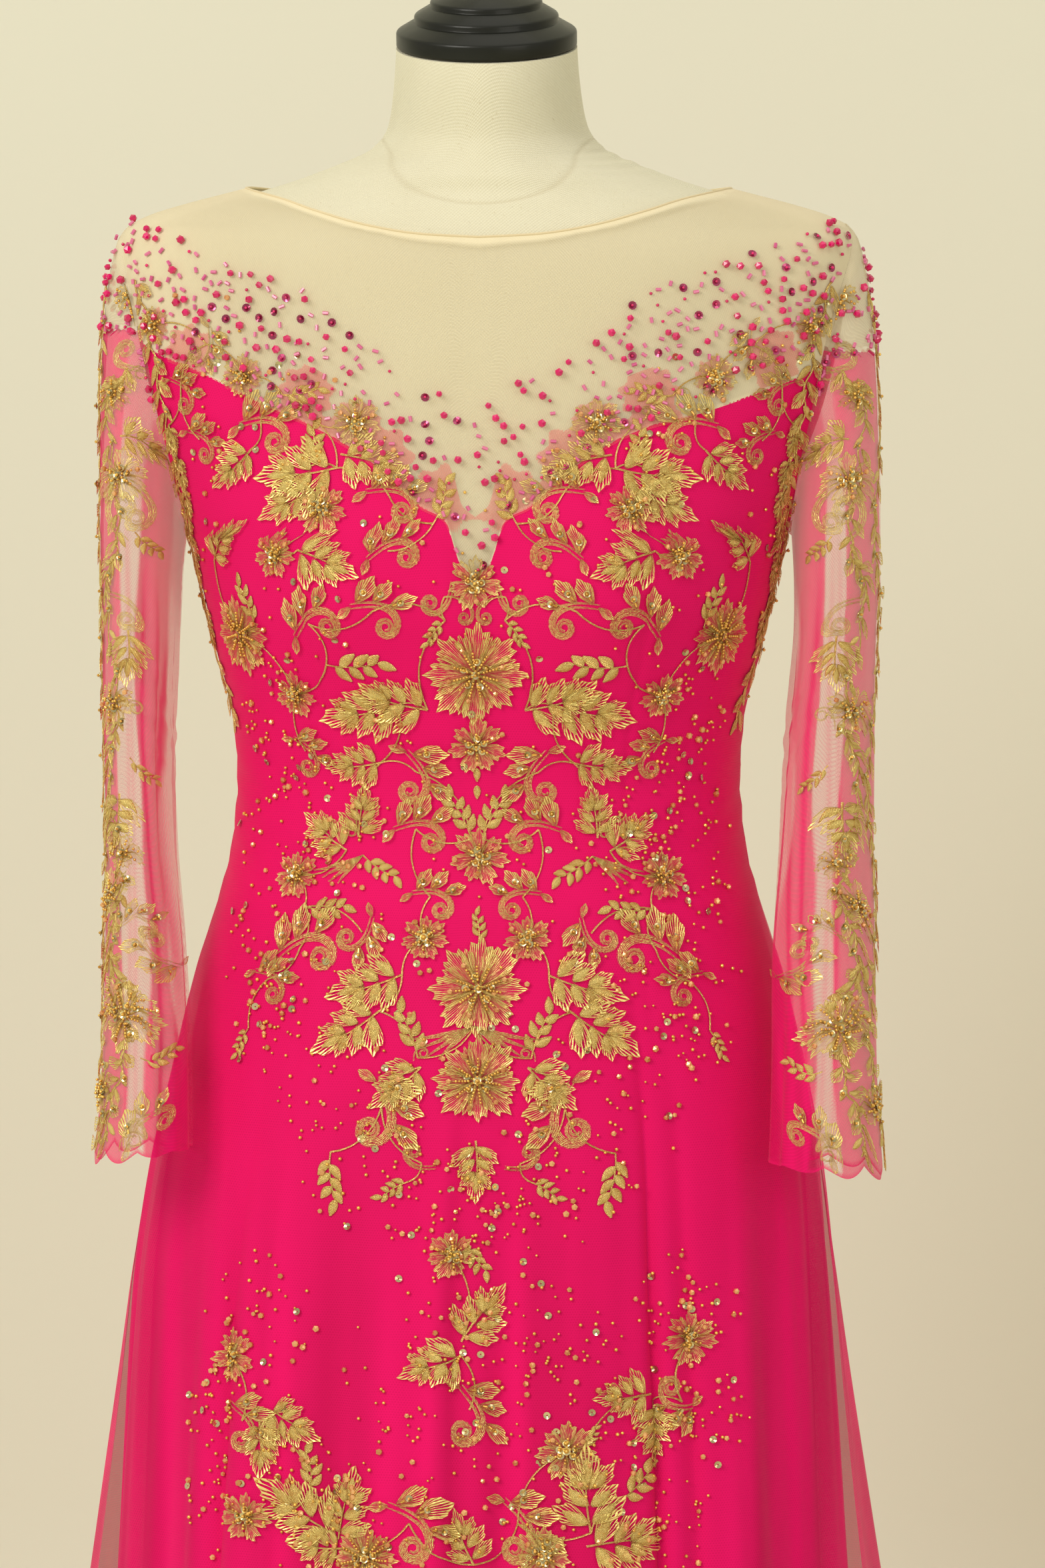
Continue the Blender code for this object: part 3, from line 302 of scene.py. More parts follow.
def panelSkin(layer, folds=(), width=1.0, drawIn=None):
    rows = clothRows(layer, skinHeights)
    isFront = layer.startswith("front")
    short = edgeDepth(skinHeights, layer)
    depth = np.where(isFront | (short < 0.0), rows[1], rows[2])
    ahead = np.minimum(1.0, (np.abs(short) / depth) ** (rows[3] / 2.0))
    last = np.arccos(np.sign(short) * ahead)
    turns = last[:, None] * np.linspace(0.0, 1.0, 145)
    arc = ringPoints(rows, skinHeights, turns if isFront else math.pi - turns)
    across = width * skinColumns
    points = spaced(arc, np.abs(across))
    x = points[..., 0]
    points[..., 0] = np.where(across < 0.0, 2.0 * arc[:, :1, 0] - x, x)
    away = awayFromAxis(points)
    normals = turnedTo(gridNormals(points), away)
    rise = foldRise(across, skinHeights[:, None], folds) + np.zeros(x.shape)
    if drawIn is not None:
        rise = rise - drawIn(skinHeights)[:, None]
    points = points + normals * rise[..., None]
    return Skin(points, turnedTo(gridNormals(points), away), skinColumns, skinHeights)


def underDraw(heights):
    drop = np.clip(cut["flapTop"] - heights, 0.0, 2.0) / (cut["flapTop"] - cut["hem"])
    return cut["layerOpening"] * smoothStep(12.0 * drop) + cut["underDrawIn"] * drop ** 0.8


def calmer(folds):
    return [(place, width, rise * cut["underFolds"], start) for place, width, rise, start in folds]


def edgeHeights(skin, line, across, top=None):
    # where the column at each place across meets an edge line
    height = np.full(len(across), line[-1][1])
    for _ in range(60):
        reach = np.abs(skin.read(skin.points[..., 0], across, height))
        height = height + 0.4 * (readTable(line, reach)[0] - height)
    if top is not None:
        height = np.where(np.abs(across) >= 0.9999, top, height)
    return height


def sweetheartHeights(skin, across):
    # the right side has slipped a little lower than the left
    height = edgeHeights(skin, sweetheart, across)
    return height - cut["slip"][1] * smoothStep((across - 0.35) / 0.5)


def armholePoint(angle):
    middle = 0.5 * (cut["underarm"] + cut["shoulderTip"])
    height = middle + (cut["shoulderTip"] - middle) * math.cos(angle)
    half, front, back, square = (float(a[0]) for a in readTable(formRows, [height]))
    isFront = math.sin(angle) >= 0.0
    reach = (cut["armholeFront"] if isFront else cut["armholeBack"]) * abs(math.sin(angle))
    x = half * (1.0 - (reach / (front if isFront else back)) ** square) ** (1.0 / square)
    out = cut["ease"] + 0.5 * cut["wall"] + cut["cornerGap"]
    lift = 0.5 * (1.0 + math.cos(angle))
    return np.array([x + out, -reach if isFront else reach, height + 0.5 * out * lift])


def tubePoint(side, angle, height):
    inner, outer, middle, depth = (float(a[0]) for a in readTable(sleeveRows[side], [height]))
    return np.array([0.5 * (inner + outer) + 0.5 * (outer - inner) * math.cos(angle),
                     middle - depth * math.sin(angle), height])


def sleeveLine(side, angle):
    # one line down the sleeve, a free curve to the tube and straight on to the hem
    outside = 0.5 * (1.0 + math.cos(angle))
    wave = abs(math.sin(0.5 * cut["scallops"] * angle))
    hem = cut["sleeveHems"][side] - cut["scallopDeep"] * wave * outside
    start, end = armholePoint(angle), tubePoint(side, angle, cut["tubeTop"])
    span = np.linalg.norm(end - start)
    leave = np.array([0.06, 0.0, -1.0]) * (1 - outside) + np.array([0.38, 0.0, -0.92]) * outside
    leave = leave / np.linalg.norm(leave) * cut["fullness"] * span
    ends = (start, end, leave, np.array([0.0, 0.0, -1.0]) * span)
    line = [sum(point * share for point, share in zip(ends, hermite(t)))
            for t in np.linspace(0.0, 1.0, 25)]
    line += [tubePoint(side, angle, height) for height in np.linspace(cut["tubeTop"], hem, 40)[1:]]
    return line


def sleeveSkin(side):
    # columns are angles round the arm, 0 outside and 90 degrees in front, and rows
    # run down each line from 0 at the armhole to 1 at the hem
    angles, way = np.linspace(-math.pi, math.pi, 145), np.linspace(0.0, 1.0, 241)
    lines = np.array([sleeveLine(side, angle) for angle in angles])
    points = spaced(lines, way).transpose(1, 0, 2)
    # the way down at which nude mesh turns to pink tulle
    below = points[..., 2] <= cut["offShoulder"] - cut["slip"][side]
    tops = way[np.argmax(below, axis=0)]
    points[..., 0] *= side
    normals = gridNormals(points)
    normals[:, 0] = normals[:, -1] = 0.5 * (normals[:, 0] + normals[:, -1])
    centre = points.mean(axis=1, keepdims=True)
    flip = np.sign((normals * (points - centre)).sum(-1).mean())
    skin = Skin(points, normals * flip, angles, way)
    skin.tops = tops
    return skin


frontSkin = panelSkin("front", frontFolds)
backSkin = panelSkin("back tulle", backFolds)
plainFront = panelSkin("front")
plainBack = panelSkin("back under")
frontUnderSkin = panelSkin("front", calmer(frontFolds), cut["underWidth"], underDraw)
backUnderSkin = panelSkin("back under", calmer(backFolds), cut["underWidth"], underDraw)
sleeveSkins = {side: sleeveSkin(side) for side in (-1, 1)}
print("skins laid")

# Camera and picture

look = {
    "distance": 6.0, "azimuth": 3.5, "raised": 4.0, "aim": (0.019, 0.0, 1.041),
    "frameHeight": 0.882, "sensor": 36.0, "picture": (1568, 2352),
}


def link(name, data):
    # a new object at the origin, in the scene
    obj = bpy.data.objects.new(name, data)
    bpy.context.scene.collection.objects.link(obj)
    return obj


class Viewpoint:
    # the camera, and where points fall in the picture

    def __init__(self):
        turn, raised = math.radians(look["azimuth"]), math.radians(look["raised"])
        level = np.array([math.sin(turn), -math.cos(turn), 0.0])
        self.back = level * math.cos(raised) + np.array([0.0, 0.0, math.sin(raised)])
        self.right = np.array([math.cos(turn), math.sin(turn), 0.0])
        self.up = np.cross(self.back, self.right)
        self.place = np.array(look["aim"]) + self.back * look["distance"]
        data = bpy.data.cameras.new("camera")
        data.sensor_fit, data.sensor_height = "VERTICAL", look["sensor"]
        data.lens = look["sensor"] * look["distance"] / look["frameHeight"]
        camera = link("camera", data)
        camera.location = self.place
        camera.rotation_euler = (math.radians(90.0 - look["raised"]), 0.0, turn)
        bpy.context.scene.camera = camera

    def project(self, points):
        wide, high = look["picture"]
        away = points - self.place
        perMetre = high / look["frameHeight"] * look["distance"] / -(away @ self.back)
        return np.stack([wide / 2 + (away @ self.right) * perMetre,
                         high / 2 - (away @ self.up) * perMetre], axis=-1)

    def facing(self, points, normals):
        return ((self.place - points) * normals).sum(-1) > 0.0


viewpoint = Viewpoint()

# Materials

# light and shade of each tone, and of the wall its painted shadow and its plain paint
tones = {
    "pink": ((0.88, 0.004, 0.15), (0.58, 0.002, 0.085)),
    "nude": ((0.84, 0.76, 0.54), (0.75, 0.63, 0.39)),
    "lace": ((0.88, 0.13, 0.17), (0.8, 0.1, 0.13)),
    "tan": ((0.8, 0.68, 0.44), (0.7, 0.56, 0.32)),
    # canvas light and shade; the single dark after it serves the canvas flecks and the painted shade along
    # its sewn joint
    "canvas": ((0.8, 0.76, 0.58), (0.68, 0.62, 0.43)), "fleckAndSeamShade": (0.58, 0.5, 0.32),
    "gold": ((1.0, 0.8, 0.27), (0.62, 0.25, 0.045)),
    "black": ((0.012, 0.012, 0.007), (0.006, 0.007, 0.005)),
    "steel": ((0.66, 0.66, 0.67), (0.42, 0.42, 0.43)),
    "brass": ((0.95, 0.66, 0.3), (0.62, 0.34, 0.12)),
    "wall": ((0.62, 0.57, 0.37), (0.76, 0.76, 0.625)),
}


class Nodes:
    # makes the nodes of one tree; an input takes a value or another node's output

    def __init__(self, tree):
        self.tree = tree

    def feed(self, socket, value):
        if hasattr(value, "is_output"):
            self.tree.links.new(value, socket)
        else:
            socket.default_value = (*value, 1.0) if socket.type == "RGBA" else value

    def into(self, made, **inputs):
        for key, value in inputs.items():
            self.feed(made.inputs[key.replace("_", " ")], value)
        return made

    def make(self, kind, settings=(), **inputs):
        made = self.tree.nodes.new("ShaderNode" + kind)
        for key, value in dict(settings).items():
            setattr(made, key, value)
        return self.into(made, **inputs)

    def math(self, operation, *values, clamp=False):
        made = self.make("Math", {"operation": operation, "use_clamp": clamp})
        for socket, value in zip(made.inputs, values):
            self.feed(socket, value)
        return made.outputs[0]

    def times(self, a, b, clamp=False):
        return self.math("MULTIPLY", a, b, clamp=clamp)

    def plus(self, a, b, clamp=False):
        return self.math("ADD", a, b, clamp=clamp)

    def minus(self, a, b):
        return self.math("SUBTRACT", a, b)

    def line(self, value, slope, start, clamp=False):
        return self.math("MULTIPLY_ADD", value, slope, start, clamp=clamp)

    def wave(self, along, speed):
        return self.line(self.math("SINE", self.times(along, speed)), 0.5, 0.5)

    def blend(self, factor, tone):
        # from the shade to the light of a pair
        made = self.make("Mix", {"data_type": "RGBA"})
        for slot, value in ((0, factor), (6, tone[1]), (7, tone[0])):
            self.feed(made.inputs[slot], value)
        return made.outputs[2]

    def mark(self, name):
        return self.make("Attribute", {"attribute_name": name}).outputs["Fac"]

    def uv(self, name="cloth"):
        return self.make("UVMap", {"uv_map": name}).outputs["UV"]

    def place(self):
        return self.make("TexCoord").outputs["Object"]

    def split(self, vector):
        return self.make("SeparateXYZ", Vector=vector).outputs

    def noise(self, vector, scale, detail, roughness=0.5):
        return self.make("TexNoise", Vector=vector, Scale=scale, Detail=detail,
                         Roughness=roughness).outputs["Fac"]

    def stretched(self, vector, scale):
        return self.make("Mapping", Vector=vector, Scale=scale).outputs["Vector"]

    def group(self, group, vector, **values):
        return self.make("Group", {"node_tree": group}, Vector=vector, **values).outputs

    def mottle(self, vector, size, amount):
        return self.group(mottleGroup, vector, Size=size, Amount=amount)["Tone"]

    def bump(self, shader, height, strength, distance):
        made = self.make("Bump", Height=height, Strength=strength, Distance=distance)
        self.into(shader, Normal=made.outputs["Normal"])


def newGroup(name, inputs, outputs):
    # a shader group that takes a vector and floats, and puts out floats
    tree = bpy.data.node_groups.new(name, "ShaderNodeTree")
    tree.interface.new_socket(name="Vector", in_out="INPUT", socket_type="NodeSocketVector")
    for label, value in inputs.items():
        socket = tree.interface.new_socket(name=label, in_out="INPUT", socket_type="NodeSocketFloat")
        socket.default_value = value
    for label in outputs:
        tree.interface.new_socket(name=label, in_out="OUTPUT", socket_type="NodeSocketFloat")
    start, end = tree.nodes.new("NodeGroupInput"), tree.nodes.new("NodeGroupOutput")
    return Nodes(tree), start.outputs, end


def makeNetGroup():
    # three crossing sets of threads, denser along the ribs
    nodes, given, end = newGroup("netWeave", {"Threads per metre": 900.0, "Rib": 0.5},
                                 ("Thread", "Height"))
    wobble = nodes.times(nodes.noise(given["Vector"], 45.0, 1.0), 1.2)
    sets = []
    for angle in (90.0, 30.0, -30.0):
        turned = nodes.make("VectorRotate", {"rotation_type": "Z_AXIS"}, Vector=given["Vector"],
                            Angle=math.radians(angle))
        along = nodes.times(nodes.split(turned.outputs["Vector"])["X"], given["Threads per metre"])
        sets.append(nodes.wave(nodes.plus(along, wobble), 2.0 * math.pi))
    ribs, cross = nodes.times(sets[0], given["Rib"]), nodes.math("MAXIMUM", sets[1], sets[2])
    thread = nodes.math("MAXIMUM", ribs, nodes.math("POWER", cross, 2.0))
    nodes.into(end, Thread=thread, Height=nodes.times(thread, thread))
    return nodes.tree


def makeWeaveGroup():
    # a plain weave with thicker and thinner yarns
    nodes, given, end = newGroup("plainWeave", {"Yarns per metre": 1100.0}, ("Height",))
    slub = nodes.times(nodes.noise(given["Vector"], 260.0, 3.0), 0.7)
    places = nodes.split(given["Vector"])
    waves = []
    for axis in "XY":
        along = nodes.plus(nodes.times(places[axis], given["Yarns per metre"]), slub)
        waves.append(nodes.math("SINE", nodes.times(along, math.pi)))
    nodes.into(end, Height=nodes.line(nodes.times(*waves), 0.5, 0.5))
    return nodes.tree


def makeMottleGroup():
    # slow changes of tone over a surface
    nodes, given, end = newGroup("softMottle", {"Size": 9.0, "Amount": 0.3}, ("Tone",))
    spread = nodes.minus(nodes.noise(given["Vector"], given["Size"], 4.0, 0.6), 0.5)
    nodes.into(end, Tone=nodes.line(spread, given["Amount"], 0.5, clamp=True))
    return nodes.tree


netGroup, weaveGroup, mottleGroup = makeNetGroup(), makeWeaveGroup(), makeMottleGroup()


def newMaterial(name, roughness=0.7, **values):
    material = bpy.data.materials.new(name)
    material.use_nodes = True
    nodes = Nodes(material.node_tree)
    shader = nodes.into(nodes.tree.nodes["Principled BSDF"], Roughness=roughness, **values)
    return material, nodes, shader


def makeNetCloth(name, tone, perMetre, rib, sheen, paintedGlow, pleatShadeAmount, openness=0.3):
    # a sheer net: its cover attribute says how much of what lies behind it hides
    # the emission is painted light: the net shines in its own light tone, standing in for light that
    # passes through it from behind
    material, nodes, shader = newMaterial(
        name, 0.72, Sheen_Weight=sheen, Sheen_Roughness=0.4, Sheen_Tint=(1.0, 0.72, 0.78),
        Specular_IOR_Level=0.12, Emission_Color=tones[tone][0], Emission_Strength=paintedGlow)
    uv = nodes.uv()
    net = nodes.group(netGroup, uv, Threads_per_metre=perMetre, Rib=rib)
    factor = nodes.plus(nodes.times(net["Thread"], 0.45), nodes.times(nodes.mottle(uv, 14.0, 0.5), 0.5))
    # lengthwise streaks, lighter and darker, where the mark allows: painted pleat shade, partly also the
    # denser cloth where layers gather
    soft = nodes.noise(nodes.stretched(uv, (30.0, 1.1, 1.0)), 1.0, 1.2)
    pleatShade = nodes.times(nodes.times(nodes.minus(soft, 0.55), pleatShadeAmount), nodes.mark("fall"))
    factor = nodes.plus(factor, pleatShade, clamp=True)
    cover = nodes.mark("cover")
    bare = nodes.minus(1.0, cover)
    holes = nodes.times(nodes.minus(1.0, net["Thread"]), openness)
    alpha = nodes.minus(cover, nodes.times(holes, bare))
    alpha = nodes.plus(alpha, nodes.times(bare, openness * 0.5), clamp=True)
    nodes.into(shader, Base_Color=nodes.blend(factor, tones[tone]), Alpha=alpha)
    nodes.bump(shader, net["Height"], 0.35, 0.0002)
    return material


def makePlainCloth(name, tone, yarns, sheen):
    material, nodes, shader = newMaterial(name, 0.7, Sheen_Weight=sheen)
    uv = nodes.uv()
    weave = nodes.group(weaveGroup, uv, Yarns_per_metre=yarns)["Height"]
    factor = nodes.plus(nodes.times(weave, 0.3), nodes.times(nodes.mottle(uv, 10.0, 0.8), 0.8),
                        clamp=True)
    nodes.into(shader, Base_Color=nodes.blend(factor, tones[tone]))
    nodes.bump(shader, weave, 0.25, 0.0002)
    return material


def makeCanvas():
    # a woven cover with a few dark flecks, and painted shade along the sewn joint
    material, nodes, shader = newMaterial("formCanvas", 0.9, Sheen_Weight=0.1)
    uv = nodes.uv()
    weave = nodes.group(weaveGroup, uv, Yarns_per_metre=1000.0)["Height"]
    factor = nodes.plus(nodes.times(weave, 0.55), nodes.times(nodes.mottle(uv, 16.0, 0.9), 0.65),
                        clamp=True)
    cloth = nodes.blend(factor, tones["canvas"])
    fleck = nodes.times(nodes.minus(nodes.noise(uv, 420.0, 1.0), 0.68), 5.0, clamp=True)
    # the seam mark paints shade along the joint, in the same dark as the flecks
    marked = nodes.math("MAXIMUM", nodes.times(nodes.mark("seam"), 0.42), fleck)
    nodes.into(shader, Base_Color=nodes.blend(marked, (tones["fleckAndSeamShade"], cloth)))
    nodes.bump(shader, weave, 0.7, 0.0004)
    return material


def makeLacquer():
    material, nodes, shader = newMaterial("satinBlack", 0.3, Coat_Weight=0.12, Coat_Roughness=0.12,
                                          Specular_IOR_Level=0.25)
    tone = nodes.mottle(nodes.place(), 60.0, 0.8)
    nodes.into(shader, Base_Color=nodes.blend(tone, tones["black"]),
               Roughness=nodes.line(tone, 0.25, 0.26))
    return material


def makeSteel():
    material, nodes, shader = newMaterial("brushedSteel", 0.32, Metallic=1.0)
    grain = nodes.noise(nodes.stretched(nodes.place(), (400.0, 400.0, 6.0)), 1.0, 2.0)
    nodes.into(shader, Base_Color=nodes.blend(grain, tones["steel"]),
               Roughness=nodes.line(grain, 0.2, 0.25))
    return material


def makeGoldThread():
    # metal thread: stripes across each patch, with gaps where the patch is open net; each thread is
    # painted light along its crown and dark between threads, and the shade mark adds painted highlight and
    # shade for each patch
    material, nodes, shader = newMaterial("goldThread", 0.27, Metallic=0.52)
    uv = nodes.uv("thread")
    wave = nodes.wave(nodes.line(nodes.noise(uv, 2.3, 2.0), 1.1, nodes.split(uv)["X"]), 2.0 * math.pi)
    slow = nodes.line(nodes.mottle(nodes.place(), 170.0, 1.5), 0.6, -0.18)
    lit = nodes.line(wave, 0.85, nodes.plus(slow, nodes.mark("shade")), clamp=True)
    gap = nodes.minus(nodes.mark("opened"), wave)
    alpha = nodes.math("SUBTRACT", 1.0, nodes.times(gap, 9.0), clamp=True)
    nodes.into(shader, Base_Color=nodes.blend(lit, tones["gold"]), Alpha=alpha)
    nodes.bump(shader, wave, 1.0, 0.0004)
    return material


def makeBeadMaterial(name, light, dark, roughness, metallic):
    material, nodes, shader = newMaterial(name, roughness, Coat_Weight=0.6, Coat_Roughness=0.05,
                                          Metallic=metallic)
    # the rims, where a bead is seen edge-on from the camera, are painted darker: painted shade
    edge = nodes.times(nodes.make("LayerWeight", Blend=0.35).outputs["Facing"], 0.5)
    factor = nodes.plus(nodes.times(nodes.mark("tint"), 0.75), edge, clamp=True)
    nodes.into(shader, Base_Color=nodes.blend(factor, (dark, light)))
    return material


finish = {
    "tanBinding": makePlainCloth("tanBinding", "tan", 1600.0, 0.1),
    "pinkUnder": makePlainCloth("pinkUnder", "pink", 1500.0, 0.05),
    "canvas": makeCanvas(), "lacquer": makeLacquer(), "steel": makeSteel(),
    "goldThread": makeGoldThread(),
}
# tone, threads per metre, rib, sheen, painted glow of light from behind, streaks of painted pleat shade
for name, values in {
    "pinkTulle": ("pink", 720.0, 0.9, 0.08, 0.03, 2.4),
    "backTulle": ("pink", 720.0, 0.9, 0.12, 0.17, 2.4),
    "sleeveTulle": ("pink", 900.0, 0.6, 0.12, 0.1, 1.2),
    "laceNet": ("lace", 900.0, 0.4, 0.05, 0.05, 0.0),
    "nudeMesh": ("nude", 1100.0, 0.5, 0.1, 0.04, 0.0),
}.items():
    finish[name] = makeNetCloth(name, *values)
# light, dark, roughness, metallic
for name, values in {
    "goldBead": ((1.0, 0.62, 0.12), (0.62, 0.28, 0.04), 0.16, 0.6),
    "copperCrystal": ((0.95, 0.52, 0.2), (0.55, 0.17, 0.04), 0.08, 0.35),
    "goldSequin": ((0.85, 0.72, 0.38), (0.4, 0.33, 0.15), 0.16, 0.9),
    "pinkCrystal": ((0.82, 0.002, 0.155), (0.5, 0.001, 0.07), 0.1, 0.0),
    "pinkBugle": ((0.78, 0.2, 0.36), (0.62, 0.07, 0.24), 0.18, 0.0),
    "pinkSequin": ((0.62, 0.08, 0.22), (0.2, 0.01, 0.04), 0.16, 0.6),
}.items():
    finish[name] = makeBeadMaterial(name, *values)
print("materials made")

# Cloth pieces


def dress(obj, slot, *replaced):
    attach(obj, "root")
    if replaced:
        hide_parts(*replaced)
    return obj


def newMesh(name, work):
    mesh = bpy.data.meshes.new(name)
    work.to_mesh(mesh)
    work.free()
    return mesh


def corners(mesh):
    flat = np.zeros(len(mesh.vertices) * 3)
    mesh.vertices.foreach_get("co", flat)
    return flat.reshape(-1, 3)


def moveCorners(mesh, points):
    mesh.vertices.foreach_set("co", points.astype(np.float32).ravel())


def writeUv(mesh, name, uv):
    ends = np.zeros(len(mesh.loops), int)
    mesh.loops.foreach_get("vertex_index", ends)
    mesh.uv_layers.new(name=name).data.foreach_set("uv", uv[ends].astype(np.float32).ravel())


def writeMark(mesh, name, values):
    made = mesh.attributes.new(name, "FLOAT", "POINT")
    made.data.foreach_set("value", values.astype(np.float32))


def gridMesh(name, rows, columns):
    # a grid operator's mesh, and the row and column of each of its corners
    work = bmesh.new()
    bmesh.ops.create_grid(work, x_segments=columns - 1, y_segments=rows - 1, size=1.0)
    mesh = newMesh(name, work)
    x, y = corners(mesh)[:, :2].T
    return (mesh, np.rint((y + 1.0) * 0.5 * (rows - 1)).astype(int),
            np.rint((x + 1.0) * 0.5 * (columns - 1)).astype(int))


def clothUv(points):
    # metres along the cloth from its middle column and its first row
    u = lengthsAlong(points, 1)
    return np.stack([u - u[:, [points.shape[1] // 2]], lengthsAlong(points, 0)], axis=-1)


def layGrid(name, points, outward, material, marks=(), closed=False, capped=False):
    # a grid moved onto rows and columns of points, its faces outward
    mesh, row, column = gridMesh(name, *points.shape[:2])
    moveCorners(mesh, points[row, column])
    writeUv(mesh, "cloth", clothUv(points)[row, column])
    for label, values in dict(marks).items():
        writeMark(mesh, label, np.broadcast_to(values, points.shape[:2])[row, column])
    mesh.update()
    work = bmesh.new()
    work.from_mesh(mesh)
    if closed:
        bmesh.ops.remove_doubles(work, verts=work.verts, dist=1e-6)
    if capped:
        bmesh.ops.holes_fill(work, edges=[e for e in work.edges if e.is_boundary], sides=0)
        bmesh.ops.recalc_face_normals(work, faces=work.faces)
    else:
        work.faces.ensure_lookup_table()
        work.normal_update()
        tested = work.faces[len(work.faces) // 2]
        far = ((points - np.array(tested.calc_center_median())) ** 2).sum(-1)
        nearest = np.unravel_index(far.argmin(), far.shape)
        if np.dot(outward[nearest], np.array(tested.normal)) < 0.0:
            bmesh.ops.reverse_faces(work, faces=work.faces)
    work.to_mesh(mesh)
    work.free()
    mesh.shade_smooth()
    mesh.materials.append(finish[material])
    return link(name, mesh)


def panelGrid(skin, columns, lows, highs, shares, out=0.0, ripple=None):
    # points between two edge lines, at the given shares of each column's height
    shares = shares if shares.ndim == 2 else shares[:, None]
    rows = lows + (highs - lows) * shares + 0.0 * columns
    across = np.broadcast_to(columns, rows.shape)
    if ripple:
        out = out + ripple(across, rows)
    return skin.at(across, rows, out), across, rows


def evenShares(skin, columns, lows, highs, count):
    # shares of each column's height that are evenly spaced along the cloth
    fine = np.linspace(0.0, 1.0, 60)
    length = lengthsAlong(panelGrid(skin, columns, lows, highs, fine)[0], 0)
    return np.stack([np.interp(np.linspace(0, line[-1], count), line, fine) for line in length.T], 1)


def layCloth(name, slot, stoodFor, material, grid, skin, marks=(),
             closed=False):
    # one sheet on its skin, in place of the CAD piece it stands for
    points, across, rows = grid
    sheet = layGrid(name, points, skin.outward(across, rows), material, marks, closed)
    dress(sheet, slot, stoodFor)


middleOfWall = cut["ease"] + 0.5 * cut["wall"]


def fineFolds(seed, count, deepest, begins, creases=()):
    # many narrow soft folds that the tulle falls into, and the creases at the waist
    dice = random.Random(seed)
    folds = list(creases)
    for _ in range(count):
        folds.append((dice.uniform(-0.98, 0.98), dice.uniform(0.016, 0.042),
                      dice.uniform(-1.0, 1.0) * deepest, begins + dice.uniform(-0.1, 0.06),
                      dice.uniform(-0.05, 0.05)))

    def ripple(across, heights):
        total = waistCreases(across, heights)
        for place, width, rise, start, lean in folds:
            drop = smoothStep((start - heights) / 0.25)
            total = total + rise * bell((across - place - lean * (start - heights)) / width) * drop
        return total
    return ripple


def waistCreases(across, heights):
    # slight slanting creases where the bodice is drawn in at the sides
    side = smoothStep((np.abs(across) - 0.45) / 0.3)
    wave = np.sin((heights - 0.08 * np.abs(across)) * 2.0 * math.pi / 0.021)
    return 0.0005 * side * bell((heights - 1.03) / 0.055) * wave


# folds: seed, count, depth, height where they begin, and for each crease its place
# across, half width, rise, height where it begins and lean
frontPiece = {
    "columns": 201, "rows": 210, "sheer": 0.95, "edgeCover": 0.99,
    "folds": (4, 46, 0.0034, 0.93, [
        (0.385, 0.013, -0.0048, 0.975, 0.03), (0.425, 0.017, 0.005, 0.975, 0.03),
        (0.465, 0.015, -0.0026, 0.94, 0.04),
        (0.43, 0.011, -0.0008, 1.36, 0.0), (-0.43, 0.011, -0.0008, 1.36, 0.0)]),
}
backPiece = {
    "columns": 161, "rows": 150, "sheer": 0.72, "edgeCover": 0.95, "folds": (9, 40, 0.00272, 0.96),
}
underPiece = {"columns": 81, "rows": 80}


def panelMarks(across, heights, piece):
    # the tulle is opaque where the bodice is lined, sheer below, and denser at the
    # # rolled edges, and below the hips, where it falls in soft folds, it carries painted pleat shade
    lined = smoothStep((heights - 0.96) / 0.03)
    rolled = smoothStep((np.abs(across) - 0.988) / 0.006) * (heights < cut["slitTop"])
    rolled = np.maximum(rolled, smoothStep((cut["hem"] + 0.006 - heights) / 0.003))
    cover = piece["sheer"] + (1.0 - piece["sheer"]) * lined
    return {"cover": np.maximum(cover, piece["edgeCover"] * rolled),
            "fall": smoothStep((0.93 - heights) / 0.22)}


def makePanels():
    frontSkin.settle(fineFolds(*frontPiece["folds"]))
    for label, skin, material, piece, edge, ripple in (
        ("front", frontSkin, "pinkTulle", frontPiece, lambda x: sweetheartHeights(plainFront, x), None),
        ("back", backSkin, "backTulle", backPiece, lambda x: edgeHeights(backSkin, backEdge, x),
         fineFolds(*backPiece["folds"])),
    ):
        across = np.linspace(-1.0, 1.0, piece["columns"])
        grid = panelGrid(skin, across, cut["hem"], edge(across), np.linspace(0.0, 1.0, piece["rows"]),
                         middleOfWall, ripple)
        layCloth(label + "_panel_tulle", "pink_tulle", label + "_panel", material, grid, skin,
                 panelMarks(*grid[1:], piece))
    inside = cut["ease"] - cut["layerGap"] - 0.5 * cut["wall"]
    for label, skin in (("front", frontUnderSkin), ("back", backUnderSkin)):
        grid = panelGrid(skin, np.linspace(-1.0, 1.0, underPiece["columns"]), cut["underHem"],
                         cut["flapTop"], np.linspace(0, 1, underPiece["rows"]), inside)
        layCloth(label + "_under_cloth", "pink_under", label + "_under_flap", "pinkUnder", grid, skin)


yokePiece = {"columns": 161, "rows": 56, "cover": 0.44, "sideCover": 0.44, "tuck": 0.0006,
             "lift": 0.0002, "foldedEdge": 0.955}


def makeYokes():
    across = np.linspace(-1.0, 1.0, yokePiece["columns"])
    share = np.linspace(0.0, 1.0, yokePiece["rows"])[:, None]
    for label, skin, lows, line in (
        ("front", plainFront, sweetheartHeights(plainFront, across), neckFront),
        ("back", plainBack, edgeHeights(plainBack, backEdge, across), neckBack),
    ):
        lows = lows - yokePiece["tuck"]
        highs = edgeHeights(skin, line, across, cut["neckSide"]) + yokePiece["lift"]
        shares = evenShares(skin, across, lows, highs, yokePiece["rows"])
        cover = yokePiece["cover"] + yokePiece["sideCover"] * smoothStep((np.abs(across) - 0.45) / 0.45)
        cover = np.maximum(cover, 0.95 * smoothStep((0.02 - share) / 0.015))
        cover = np.maximum(cover, 0.98 * smoothStep((share - yokePiece["foldedEdge"]) / 0.02))
        grid = panelGrid(skin, across, lows, highs, shares, middleOfWall)
        layCloth(label + "_yoke_mesh", "nude_mesh", "yoke_" + label, "nudeMesh", grid, skin,
                 {"cover": cover})


bindingPiece = {"radius": 0.0007, "rise": 0.00024, "points": 160}


